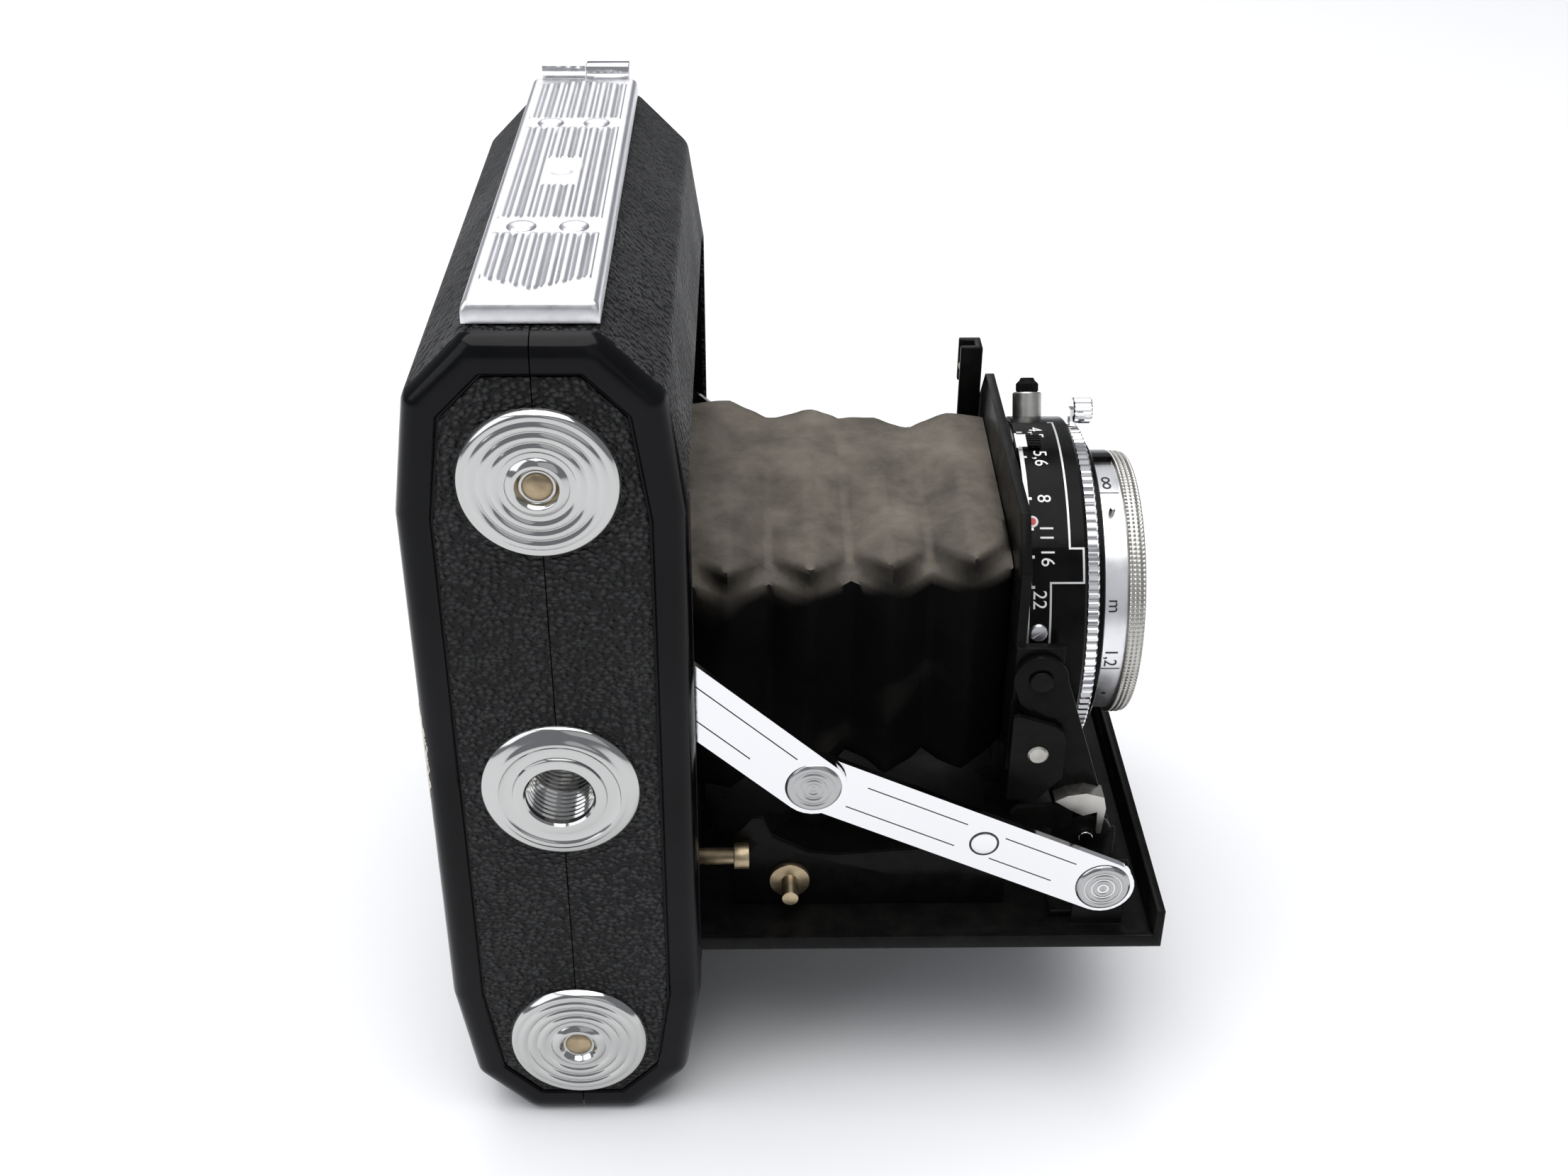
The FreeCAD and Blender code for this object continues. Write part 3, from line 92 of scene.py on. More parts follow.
# ------------------------------------------------------------------ mesh helpers
def finish_mesh(name, bm, material, sharp=35):
    bmesh.ops.remove_doubles(bm, verts=bm.verts, dist=1e-7)
    bmesh.ops.recalc_face_normals(bm, faces=bm.faces)
    data = bpy.data.meshes.new(name)
    bm.to_mesh(data)
    bm.free()
    data.shade_smooth()
    data.set_sharp_from_angle(angle=radians(sharp))
    obj = bpy.data.objects.new(name, data)
    bpy.context.scene.collection.objects.link(obj)
    if material:
        data.materials.append(material)
    return obj


def raw_mesh(verts, faces):
    bm = bmesh.new()
    made = [bm.verts.new(Vector(v) * MM) for v in verts]
    for face in faces:
        corners = []
        for i in face:
            if made[i] not in corners:
                corners.append(made[i])
        if len(corners) > 2:
            bm.faces.new(corners)
    return bm


def solid(name, verts, faces, material, sharp=35):
    return finish_mesh(name, raw_mesh(verts, faces), material, sharp)


AXES = {
    "X": lambda a, r, h: (h, r * cos(a), r * sin(a)),
    "Y": lambda a, r, h: (r * cos(a), h, r * sin(a)),
    "Z": lambda a, r, h: (r * cos(a), r * sin(a), h),
}


def lathe(name, profile, axis, centre, material, segments=96, sharp=35, wave=None):
    """Turn a closed (radius, height) profile about an axis; wave(angle, radius, height) may move it."""
    verts, faces = [], []
    count = len(profile)
    for i in range(segments):
        angle = 2 * pi * i / segments
        for radius, height in profile:
            if wave:
                radius, height = wave(angle, radius, height)
            spot = Vector(AXES[axis](angle, radius, height)) + Vector(centre)
            verts.append(spot)
    for i in range(segments):
        j = (i + 1) % segments
        for k in range(count):
            m = (k + 1) % count
            if profile[k][0] < 1e-6 and profile[m][0] < 1e-6:
                continue
            faces.append((i * count + k, j * count + k, j * count + m, i * count + m))
    return solid(name, verts, faces, material, sharp)


PLANES = {
    "XZ": lambda a, b, depth: (a, depth, b),
    "YZ": lambda a, b, depth: (depth, a, b),
    "XY": lambda a, b, depth: (a, b, depth),
}


def plate(name, outline, plane, low, high, material, bevel=0.2, steps=2):
    """A flat piece of an outline, with its edges rounded."""
    count = len(outline)
    verts = [PLANES[plane](a, b, depth) for depth in (low, high) for a, b in outline]
    faces = [tuple(range(count)), tuple(range(count, 2 * count))]
    faces += [(i, (i + 1) % count, (i + 1) % count + count, i + count) for i in range(count)]
    bm = raw_mesh(verts, faces)
    if bevel:
        edges = [e for e in bm.edges if e.calc_face_angle(0) > radians(20)]
        bmesh.ops.bevel(bm, geom=edges, offset=bevel * MM, segments=steps, profile=0.5, affect="EDGES")
    return finish_mesh(name, bm, material)


def block(name, low, high, material, bevel=0.2, steps=2):
    outline = [(low[0], low[1]), (high[0], low[1]), (high[0], high[1]), (low[0], high[1])]
    return plate(name, outline, "XY", low[2], high[2], material, bevel, steps)


def join(name, objects):
    """One object from several, keeping each one's material."""
    target = objects[0]
    with bpy.context.temp_override(active_object=target, selected_editable_objects=objects,
                                   selected_objects=objects, object=target):
        bpy.ops.object.join()
    target.name = name
    return target


def carve(target, *cutters):
    """Cut other solids out of a piece for good."""
    for cutter in cutters:
        step = target.modifiers.new("carve", "BOOLEAN")
        step.operation = "DIFFERENCE"
        step.solver = "EXACT"
        step.object = cutter
        bake(target)
        bpy.data.objects.remove(cutter)
    return target


def bake(obj, sharp=35):
    """Replace the mesh by what its modifiers make of it."""
    graph = bpy.context.evaluated_depsgraph_get()
    data = bpy.data.meshes.new_from_object(obj.evaluated_get(graph), depsgraph=graph)
    old = obj.data
    obj.modifiers.clear()
    obj.data = data
    bpy.data.meshes.remove(old)
    data.shade_smooth()
    data.set_sharp_from_angle(angle=radians(sharp))


def show(obj, body, slot, *nodes):
    """Hang a piece on the body it rides on and hide the CAD nodes it stands for. The slot, what it is made
    of, is not used.
    """
    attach(obj, body)
    if nodes:
        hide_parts(*nodes)
    return obj


def dome_of(radius, foot, rise, steps):
    """Profile of a domed head, from its crown to its foot."""
    turns = [pi / 2 * i / steps for i in range(steps + 1)]
    return [(radius * sin(turn), foot + rise * cos(turn)) for turn in turns]


def bar_faces(count):
    """Faces of a bar whose count + 1 sections have four corners each, with both ends."""
    faces = []
    for i in range(count):
        for k in range(4):
            m = (k + 1) % 4
            faces.append((i * 4 + k, i * 4 + m, i * 4 + 4 + m, i * 4 + 4 + k))
    return faces + [(0, 1, 2, 3), tuple(count * 4 + k for k in range(4))]


def arc(centre, radius, start, end, count):
    """Points of an arc, angles in degrees."""
    steps = [start + (end - start) * i / count for i in range(count + 1)]
    return [(centre[0] + radius * cos(radians(a)), centre[1] + radius * sin(radians(a))) for a in steps]


# ------------------------------------------------------------------ materials
def new_material(name):
    material = bpy.data.materials.new(name)
    material.use_nodes = True
    return material, material.node_tree, material.node_tree.nodes["Principled BSDF"]


def node_of(tree, kind, **sockets):
    node = tree.nodes.new(kind)
    for key, value in sockets.items():
        if key in node.inputs:
            node.inputs[key].default_value = value
        else:
            setattr(node, key, value)
    return node


def ramp_of(tree, source, stops):
    ramp = tree.nodes.new("ShaderNodeValToRGB")
    ramp.color_ramp.elements[0].position = stops[0][0]
    ramp.color_ramp.elements[0].color = stops[0][1]
    ramp.color_ramp.elements[1].position = stops[-1][0]
    ramp.color_ramp.elements[1].color = stops[-1][1]
    for position, colour in stops[1:-1]:
        ramp.color_ramp.elements.new(position).color = colour
    tree.links.new(source, ramp.inputs[0])
    return ramp


def feed(tree, shader, socket, source, stops):
    """Drive one of the shader's sockets by a texture through a ramp."""
    tree.links.new(ramp_of(tree, source, stops).outputs[0], shader.inputs[socket])


def mix_of(tree, kind, share, first, second):
    mix = node_of(tree, "ShaderNodeMixRGB", blend_type=kind)
    mix.inputs[0].default_value = share
    tree.links.new(first, mix.inputs[1])
    tree.links.new(second, mix.inputs[2])
    return mix.outputs[0]


def grey(value):
    return (value, value, value, 1)


def places(tree, scale=(1, 1, 1)):
    """Object coordinates, stretched along the axes."""
    coords = tree.nodes.new("ShaderNodeTexCoord")
    mapping = tree.nodes.new("ShaderNodeMapping")
    mapping.inputs["Scale"].default_value = scale
    tree.links.new(coords.outputs["Object"], mapping.inputs["Vector"])
    return mapping.outputs["Vector"]


def noise_of(tree, scale, detail=3.0, rough=0.5, stretch=(1, 1, 1)):
    texture = node_of(tree, "ShaderNodeTexNoise", Scale=scale, Detail=detail, Roughness=rough)
    tree.links.new(places(tree, stretch), texture.inputs["Vector"])
    return texture.outputs[0]


def bump_of(tree, shader, height, distance, strength=1.0):
    bump = node_of(tree, "ShaderNodeBump", Strength=strength, Distance=distance)
    tree.links.new(height, bump.inputs["Height"])
    tree.links.new(bump.outputs["Normal"], shader.inputs["Normal"])


def lacquer():
    """Gloss black stove enamel with dust and fine rubbed marks."""
    material, tree, shader = new_material("gloss_black_lacquer")
    shader.inputs["IOR"].default_value = 1.22
    feed(tree, shader, "Base Color", noise_of(tree, 60),
         [(0.35, (0.002, 0.0021, 0.0026, 1)), (0.75, (0.006, 0.006, 0.007, 1))])
    feed(tree, shader, "Roughness", noise_of(tree, 240, 5, 0.6), [(0.3, grey(0.1)), (0.8, grey(0.28))])
    bump_of(tree, shader, noise_of(tree, 900, 2), 0.00002, 0.3)
    return material


def leather():
    """Black pebbled leatherette: rounded grains, with painted shade making the creases between them dark."""
    material, tree, shader = new_material("black_pebbled_leather")
    shader.inputs["IOR"].default_value = 1.3
    grains = node_of(tree, "ShaderNodeTexVoronoi", Scale=1150.0, Randomness=0.95)
    wobble = node_of(tree, "ShaderNodeTexNoise", Scale=420.0, Detail=2.0)
    vector = places(tree, (1, 1, 1.45))
    tree.links.new(vector, wobble.inputs["Vector"])
    tree.links.new(mix_of(tree, "ADD", 0.0012, vector, wobble.outputs[1]), grains.inputs["Vector"])
    height = ramp_of(tree, grains.outputs["Distance"], [(0.0, grey(1)), (0.35, grey(0.75)),
                                                        (0.75, grey(0.0))])
    # Painted shade: the colour follows the grain height, lighter on the grain tops and near black down in the
    # creases.
    tone_with_painted_shade = ramp_of(tree, grains.outputs["Distance"], [(0.08, (0.034, 0.034, 0.035, 1)),
                                                      (0.6, (0.002, 0.002, 0.0025, 1))])
    shade = ramp_of(tree, noise_of(tree, 35), [(0.3, grey(0.75)), (0.8, grey(1.5))])
    colour = mix_of(tree, "MULTIPLY", 1, tone_with_painted_shade.outputs[0], shade.outputs[0])
    tree.links.new(colour, shader.inputs["Base Color"])
    feed(tree, shader, "Roughness", noise_of(tree, 80, 4), [(0.3, grey(0.42)), (0.75, grey(0.6))])
    bump_of(tree, shader, height.outputs[0], 0.0006, 1.0)
    return material


def metal(name, colour, low, high, scale=300, stretch=(1, 1, 1), bump=0.00001, stain=None):
    """Bare or plated metal: varied roughness, faint marks and an optional darker stain."""
    material, tree, shader = new_material(name)
    shader.inputs["Metallic"].default_value = 1
    shader.inputs["Base Color"].default_value = (*colour, 1)
    if stain:
        feed(tree, shader, "Base Color", noise_of(tree, 170, 5, 0.65),
             [(0.45, (*colour, 1)), (0.78, (*stain, 1))])
    feed(tree, shader, "Roughness", noise_of(tree, scale, 5, 0.6, stretch),
         [(0.3, grey(low)), (0.75, grey(high))])
    bump_of(tree, shader, noise_of(tree, scale * 3, 3, 0.5, stretch), bump, 0.4)
    return material


def dull_black(name, base, rough):
    """Worn black enamel with dust."""
    material, tree, shader = new_material(name)
    shader.inputs["IOR"].default_value = 1.16
    feed(tree, shader, "Base Color", noise_of(tree, 260, 6, 0.7),
         [(0.4, grey(base)), (0.72, (base * 2.2, base * 2.1, base * 1.9, 1)),
                                                     (0.86, (base * 5, base * 4.6, base * 4, 1))])
    feed(tree, shader, "Roughness", noise_of(tree, 150, 4),
         [(0.3, grey(rough - 0.12)), (0.8, grey(rough + 0.15))])
    bump_of(tree, shader, noise_of(tree, 1400, 3), 0.00002, 0.4)
    return material


def plain(name, colour, rough, metallic=0.0):
    material, tree, shader = new_material(name)
    shader.inputs["Metallic"].default_value = metallic
    feed(tree, shader, "Base Color", noise_of(tree, 400, 4),
         [(0.3, (*[c * 0.85 for c in colour], 1)), (0.8, (*colour, 1))])
    shader.inputs["Roughness"].default_value = rough
    return material


def bellows_skin():
    """Soft worn leather: nearly black, with dust on what faces up and on the folds; the up-facing ramp is
    also painted light and shade, lighter tops and darker slopes to shade the facets.
    """
    material, tree, shader = new_material("dusty_shaded_bellows_leather")
    facing = tree.nodes.new("ShaderNodeNewGeometry")
    split = tree.nodes.new("ShaderNodeSeparateXYZ")
    tree.links.new(facing.outputs["Normal"], split.inputs[0])
    # Painted light and shade, partly dust: the colour follows the normal's Z, light on what faces up and dark
    # on the slopes.
    up = ramp_of(tree, split.outputs["Z"], [(0.08, grey(0.0)), (0.5, grey(0.3)), (0.8, grey(0.5)),
                                            (0.985, grey(1.0))])
    cloud = ramp_of(tree, noise_of(tree, 130, 6, 0.65), [(0.32, grey(0.5)), (0.68, grey(1.0))])
    # The mix named dust is real dust and painted shade together: the dust cloud times the up-facing ramp.
    dust = mix_of(tree, "MULTIPLY", 1, up.outputs[0], cloud.outputs[0])
    tone_with_painted_shade = node_of(tree, "ShaderNodeMixRGB")
    tone_with_painted_shade.inputs[1].default_value = (0.002, 0.0019, 0.0019, 1)
    tone_with_painted_shade.inputs[2].default_value = (0.165, 0.146, 0.123, 1)
    tree.links.new(dust, tone_with_painted_shade.inputs[0])
    tree.links.new(tone_with_painted_shade.outputs[0], shader.inputs["Base Color"])
    feed(tree, shader, "Roughness", noise_of(tree, 200, 4), [(0.3, grey(0.55)), (0.8, grey(0.8))])
    shader.inputs["IOR"].default_value = 1.13
    grain = node_of(tree, "ShaderNodeTexVoronoi", Scale=1500.0)
    tree.links.new(places(tree), grain.inputs["Vector"])
    height = mix_of(tree, "MIX", 0.5, grain.outputs["Distance"], noise_of(tree, 500, 5))
    bump_of(tree, shader, height, 0.00012, 0.6)
    return material


def glass():
    """Coated lens glass over a dark interior."""
    material, tree, shader = new_material("coated_lens_glass")
    feed(tree, shader, "Base Color", noise_of(tree, 30),
         [(0.3, (0.55, 0.62, 0.7, 1)), (0.8, (0.72, 0.74, 0.78, 1))])
    shader.inputs["Transmission Weight"].default_value = 1
    shader.inputs["Roughness"].default_value = 0.01
    shader.inputs["IOR"].default_value = 1.6
    return material


LACQUER = lacquer()
LEATHER = leather()
CHROME = metal("bright_chrome", (0.8, 0.8, 0.81), 0.05, 0.14, 420)
SATIN = metal("satin_latch_alloy", (0.8, 0.8, 0.82), 0.26, 0.38, 700, (1, 0.1, 1), 0.00001, (0.7, 0.7, 0.71))
STEEL = metal("bright_steel", (0.6, 0.6, 0.6), 0.25, 0.45, 500, (1, 1, 1), 0.00002, (0.3, 0.27, 0.24))
DISC = metal("rolled_disc_chrome", (0.5, 0.5, 0.49), 0.06, 0.16, 420)
RIVET = metal("ringed_rivet_steel", (0.42, 0.42, 0.42), 0.14, 0.3, 500)
BRASS = metal("tarnished_brass", (0.46, 0.37, 0.24), 0.3, 0.5, 400, (1, 1, 1), 0.00002, (0.22, 0.17, 0.11))
NICKEL = metal("dull_nickel", (0.5, 0.49, 0.46), 0.25, 0.45, 400, (1, 1, 1), 0.00002, (0.3, 0.28, 0.24))
ENAMEL = dull_black("black_shutter_enamel", 0.0025, 0.24)
INNER = dull_black("inner_black_paint", 0.004, 0.6)
DUSTY = dull_black("dusty_black_enamel", 0.004, 0.3)
SILVER_INK = plain("silver_figures", (0.62, 0.62, 0.62), 0.4, 0.6)
WHITE_INK = plain("white_figures", (0.8, 0.8, 0.78), 0.5)
BLACK_INK = plain("black_figures", (0.01, 0.01, 0.01), 0.5)
RED_INK = plain("red_figures", (0.5, 0.012, 0.015), 0.4)
BELLOWS = bellows_skin()
GLASS = glass()
PINE = plain("black_spool_wood", (0.018, 0.016, 0.014), 0.6)
CREAM = plain("bare_undercoat", (0.72, 0.68, 0.6), 0.7)
RED_GLASS = plain("red_film_window", (0.25, 0.004, 0.004), 0.12)


# ------------------------------------------------------------------ case
def offset_corners(inset):
    """The case outline's front corners, bottom to top, moved in by an inset."""
    centre = LENGTH / 2
    top = [(0, LENGTH), (END_HALF, LENGTH), (SHOULDER_HALF, LENGTH - SHOULDER_DROP),
           (HALF_DEPTH, LENGTH - SIDE_DROP)]
    walls = list(zip(top, top[1:])) + [((HALF_DEPTH, LENGTH - SIDE_DROP), (HALF_DEPTH, centre))]
    lines = []
    for (x0, z0), (x1, z1) in walls:
        length = math.hypot(x1 - x0, z1 - z0)
        nx, nz = -(z1 - z0) / length, (x1 - x0) / length
        lines.append((nx, nz, nx * x0 + nz * z0 - inset))
    upper = [(0.0, LENGTH - inset)]
    for (a, b, c), (d, e, f) in zip(lines, lines[1:]):
        det = a * e - b * d
        upper.append(((c * e - b * f) / det, (a * f - c * d) / det))
    lower = [(x, LENGTH - z) for x, z in upper]
    return lower + upper[::-1]


def half_outline(inset, sign):
    """One half of the case outline with its corners eased, from the low seam to the high seam."""
    corners = offset_corners(inset)
    points = [(SEAM, corners[0][1])]
    for i in range(1, len(corners) - 1):
        here, before, after = Vector(corners[i]), Vector(corners[i - 1]), Vector(corners[i + 1])
        back, ahead = (before - here).normalized(), (after - here).normalized()
        half = back.angle(ahead) / 2
        reach = min(max(CORNER_RADIUS - inset * 0.5, 0.5) / math.tan(half), CORNER_REACH)
        for step in range(5):
            u = step / 4
            spot = here + back * reach * (1 - u) ** 2 + ahead * reach * u ** 2
            points.append((spot.x, spot.y))
    points.append((SEAM, corners[-1][1]))
    return [(sign * x, z) for x, z in points]


def swept_half(name, loops, sign, material, capped=True):
    """Skin a run of (inset, y) loops round one half outline, closed at its ends and along the seam."""
    rows = [[(x, y, z) for x, z in half_outline(inset, sign)] for inset, y in loops]
    count = len(rows[0])
    verts = [spot for row in rows for spot in row]
    faces = []
    for r in range(len(rows) - 1):
        for i in range(count - 1):
            faces.append((r * count + i, r * count + i + 1, (r + 1) * count + i + 1, (r + 1) * count + i))
    if capped:
        faces.append(tuple(range(count)))
        faces.append(tuple(range((len(rows) - 1) * count, len(rows) * count)))
        seam = [r * count for r in range(len(rows))]
        faces.append(tuple(seam + [r * count + count - 1 for r in reversed(range(len(rows)))]))
    else:
        last = len(rows) - 1
        faces += [(last * count + i, last * count + i + 1, i + 1, i) for i in range(count - 1)]
        for end in (0, count - 1):
            faces.append(tuple(r * count + end for r in range(len(rows))))
    return solid(name, verts, faces, material, 40)


def rim_loops():
    """Cross-section of the lacquered rim, from the leather panel's edge round to the leather wrap."""
    face = HALF_WIDTH
    return [(PANEL_MARGIN, face - HIDE), (PANEL_MARGIN, face - 0.25), (PANEL_MARGIN - 0.25, face),
            (2.6, face), (1.7, face - 0.1), (0.95, face - 0.45), (0.4, face - 1.05), (0.1, face - 1.8),
            (0.0, face - RIM_BAND), (HIDE, face - RIM_BAND)]


def make_shell(name, sign):
    loops = [(inset, -y) for inset, y in rim_loops()]
    loops += [(inset, y) for inset, y in reversed(rim_loops())]
    shell = swept_half(name, loops, sign, LACQUER)
    hollow = WALL + HIDE
    inner = swept_half(name + "_hollow", [(hollow, -HALF_WIDTH + hollow), (hollow, HALF_WIDTH - hollow)],
                       sign, INNER)
    inner.data.transform(Matrix.Translation((-sign * 4 * MM * SEAM, 0, 0)))
    return carve(shell, inner)


def drill(axis, diameter, low, high, centre):
    radius = diameter / 2
    return lathe("drill", [(0, low), (radius, low), (radius, high), (0, high)], axis, centre, INNER, 48)


def cutter(low, high):
    return block("cutter", low, high, INNER, bevel=0)


MOUTH_LOW, MOUTH_HIGH, MOUTH_HALF = 23.2, 94.5, 37.3


def mouth_box(margin):
    return cutter((-1, -MOUTH_HALF - margin, MOUTH_LOW - margin),
                  (40, MOUTH_HALF + margin, MOUTH_HIGH + margin))


def leather_wrap(name, sign):
    edge = HALF_WIDTH - RIM_BAND
    loops = [(0.47, -edge + 0.06), (0.12, -edge + 0.06), (0.0, -edge + 0.3), (0.0, edge - 0.3),
             (0.12, edge - 0.06),
             (0.47, edge - 0.06)]
    return swept_half(name, loops, sign, LEATHER, capped=False)


def leather_panel(name, sign, side):
    face = HALF_WIDTH
    margin = PANEL_MARGIN + 0.3
    loops = [(margin, side * (face - HIDE + 0.02)), (margin, side * (face - 0.18)),
             (margin + 0.25, side * (face - 0.02)),
             (margin + 0.6, side * face)]
    return swept_half(name, loops, sign, LEATHER)


def face_drills(extra, sides=(-1, 1)):
    tools = []
    for side in sides:
        low, high = sorted((side * (HALF_WIDTH - 4), side * (HALF_WIDTH + 2)))
        for z in (SPOOL_TOP, SPOOL_LOW):
            tools.append(drill("Y", 6.6 + extra, low, high, (0, 0, z)))
        if side < 0:
            tools.append(drill("Y", 12.6 + extra, low, high, (0, 0, BUSH_Z)))
    return tools


def make_half(word, sign, body, node, opening, wrap_opening, slack):
    """One half of the case: its lacquered shell, and the leather wrap and end panels as one piece."""
    shell = carve(make_shell(word + "_case", sign), opening, *face_drills(slack))
    show(shell, body, "black_lacquer", node)
    wrap = carve(leather_wrap(word + "_wrap", sign), wrap_opening)
    panels = [leather_panel(f"{word}_panel_{side}", sign, side) for side in (-1, 1)]
    for panel, side in zip(panels, (-1, 1)):
        carve(panel, *face_drills(slack, (side,)))
    show(join(word + "_hide", [wrap, *panels]), body, "black_leather", word + "_leather")


def make_case():
    make_half("front", 1, "case", "front_shell", mouth_box(0), mouth_box(0.35), 0)
    window = (0, 0, middle("film_window").z)
    bores = [drill("X", bore, -30, 0, window) for bore in (WINDOW_BORE, WRAP_BORE)]
    make_half("back", -1, "back", "back_door", *bores, 1.0)


# ------------------------------------------------------------------ base face
def ripple(radius, rings):
    """Height of rolled rings at a radius: each ring is (middle, half width, rise)."""
    return sum(rise * max(0.0, cos(pi / 2 * (radius - mid) / half)) for mid, half, rise in rings
               if abs(radius - mid) < half)


def make_discs():
    face = HALF_WIDTH
    for name, z in (("upper_disc", SPOOL_TOP), ("lower_disc", SPOOL_LOW)):
        rings = [(7.3, 0.6, 0.24), (6.05, 0.6, 0.24), (4.8, 0.6, 0.24)]
        top, steps = [], 130
        for i in range(steps + 1):
            radius = 9.15 * i / steps
            rise = 0.95 + ripple(radius, rings)
            if radius > 8.3:
                rise -= 0.85 * ((radius - 8.3) / 0.85) ** 2.2
            if radius < 3.6:
                rise += 0.55 * min(1, (3.6 - radius) / 0.7) ** 0.7
            if radius < 2.5:
                rise -= 0.75 * min(1, (2.5 - radius) / 0.5)
            top.append((radius, -(face + rise)))
        profile = top + [(9.1, -(face + 0.03)), (2.8, -(face + 0.03)), (2.8, -28.6), (0, -28.6)]
        disc = lathe(name, profile, "Y", (0, 0, z), DISC, 160, 50)
        dome = dome_of(1.75, -(face + 0.72), -0.62, 10)
        rivet = lathe(name + "_rivet", dome + [(1.75, -(face + 0.6)), (0, -(face + 0.6))], "Y", (0, 0, z),
                      BRASS, 48)
        show(disc, "case", "chrome", "spool_discs")
        show(rivet, "case", "brass")


def make_bush():
    face = HALF_WIDTH
    outer = [(4.12, 1.35), (4.35, 1.62), (5.3, 1.62), (5.6, 1.5), (5.72, 1.12), (6.0, 1.05), (6.9, 1.05),
             (7.15, 1.12),
             (7.35, 1.32), (7.75, 1.32), (8.0, 1.12), (8.35, 0.95), (8.9, 0.8), (9.4, 0.5), (9.65,
                                                                                             0.12), (9.65,
                                                                                                     0.03),
             (6.05, 0.03), (6.05, -5.6), (0, -5.6), (0, -4.9), (4.12, -4.9)]
    profile = [(radius, -(face + rise)) for radius, rise in outer]
    turns, depth = 7, 5.6
    for i in range(turns * 4):
        rise = -4.8 + depth * i / (turns * 4)
        profile.append((4.12 - (0.22 if i % 4 in (1, 2) else 0), -(face + rise)))
    bush = lathe("tripod_socket", profile, "Y", (0, 0, BUSH_Z), DISC, 128, 40)
    show(bush, "case", "chrome", "tripod_bush")


# ------------------------------------------------------------------ back latch
LATCH_LOW, LATCH_HIGH = span("back_latch")


# Fluted fields along the plate: start, end, and how far each end comes to a point.
FLUTED = ((3.2, 19.4, 3.4, 0), (24.3, 56.8, 0, 0), (60.6, 75.4, 0, 1.6))
FLUTE_HALF, FLUTE_PITCH, FLUTE_RISE, FLUTE_END, FLUTE_FADE = 5.9, 1.45, 0.3, 0.4, 0.8
BADGE_START, BADGE_END, BADGE_HALF, BADGE_RISE = 10.8, 20.4, 2.25, 0.02
DIMPLE_PLACE, DIMPLE_RADIUS, DIMPLE_DEPTH = 40.2, 1.5, 0.3


def flutes(x, y):
    """Height of the pressed pattern on the latch plate, at x across and y along it."""
    along = y - LATCH_LOW.y
    slope = abs(x) / FLUTE_HALF
    rise = 0.0
    for field in FLUTED:
        low, high, point_low, point_high = field
        start = low + point_low * slope - FLUTE_END
        end = high + point_high * (1 - slope) + FLUTE_END
        if start < along < end and abs(x) < FLUTE_HALF:
            fade = min(1, (along - start) / FLUTE_FADE, (end - along) / FLUTE_FADE)
            wave = 0.5 + 0.5 * cos(2 * pi * x / FLUTE_PITCH)
            rise = FLUTE_RISE * fade * wave ** 0.7
            if field == FLUTED[1] and abs(x) < BADGE_HALF and BADGE_START < along - low < BADGE_END:
                rise = BADGE_RISE
    dimple = math.hypot(x, along - DIMPLE_PLACE)
    if dimple < DIMPLE_RADIUS:
        rise -= DIMPLE_DEPTH * cos(pi / 2 * dimple / DIMPLE_RADIUS)
    return rise


def make_latch():
    half = (LATCH_HIGH.x - LATCH_LOW.x) / 2
    top = LATCH_HIGH.z - 0.4
    low = LATCH_LOW.z
    across, along = 104, 320
    verts, faces = [], []
    corner = 0.9
    for j in range(along + 1):
        y = LATCH_LOW.y + (LATCH_HIGH.y - LATCH_LOW.y) * j / along
        from_end = min(y - LATCH_LOW.y, LATCH_HIGH.y - y)
        for i in range(across + 1):
            x = -half + 2 * half * i / across
            z = top + flutes(x, y)
            from_side = half - abs(x)
            for gap in (from_end, from_side):
                if gap < corner:
                    z -= corner - sqrt(max(0.0, corner ** 2 - (corner - gap) ** 2))
            verts.append((x, y, z))
    row = across + 1
    for j in range(along):
        for i in range(across):
            faces.append((j * row + i, j * row + i + 1, (j + 1) * row + i + 1, (j + 1) * row + i))
    rim = list(range(row)) + [j * row + across for j in range(1, along + 1)]
    rim += [along * row + i for i in range(across - 1, -1, -1)] + [j * row for j in range(along - 1, 0, -1)]
    skirt = len(verts)
    verts += [(verts[i][0], verts[i][1], low) for i in rim]
    count = len(rim)
    faces += [(rim[i], rim[(i + 1) % count], skirt + (i + 1) % count, skirt + i) for i in range(count)]
    faces.append(tuple(range(skirt, skirt + count)))
    latch = solid("latch_plate", verts, faces, SATIN, 50)
    carve(latch, cutter((-half + 0.9, LATCH_LOW.y + 1, low - 1), (half - 0.9, LATCH_HIGH.y + 1, top - 0.95)))
    show(latch, "latch", "satin_metal", "back_latch")
    domes = []
    for along_y in (21.6, 58.8):
        for x in (-3.0, 3.0):
            dome = dome_of(1.75, top - 0.02, 0.48, 8)
            domes.append(lathe("latch_dome", dome + [(1.85, top - 0.06), (1.85, top - 0.2), (0, top - 0.2)],
                               "Z",
                               (x, LATCH_LOW.y + along_y, 0), SATIN, 40))
    show(join("latch_domes", domes), "latch", "satin_metal", "latch_rivets")


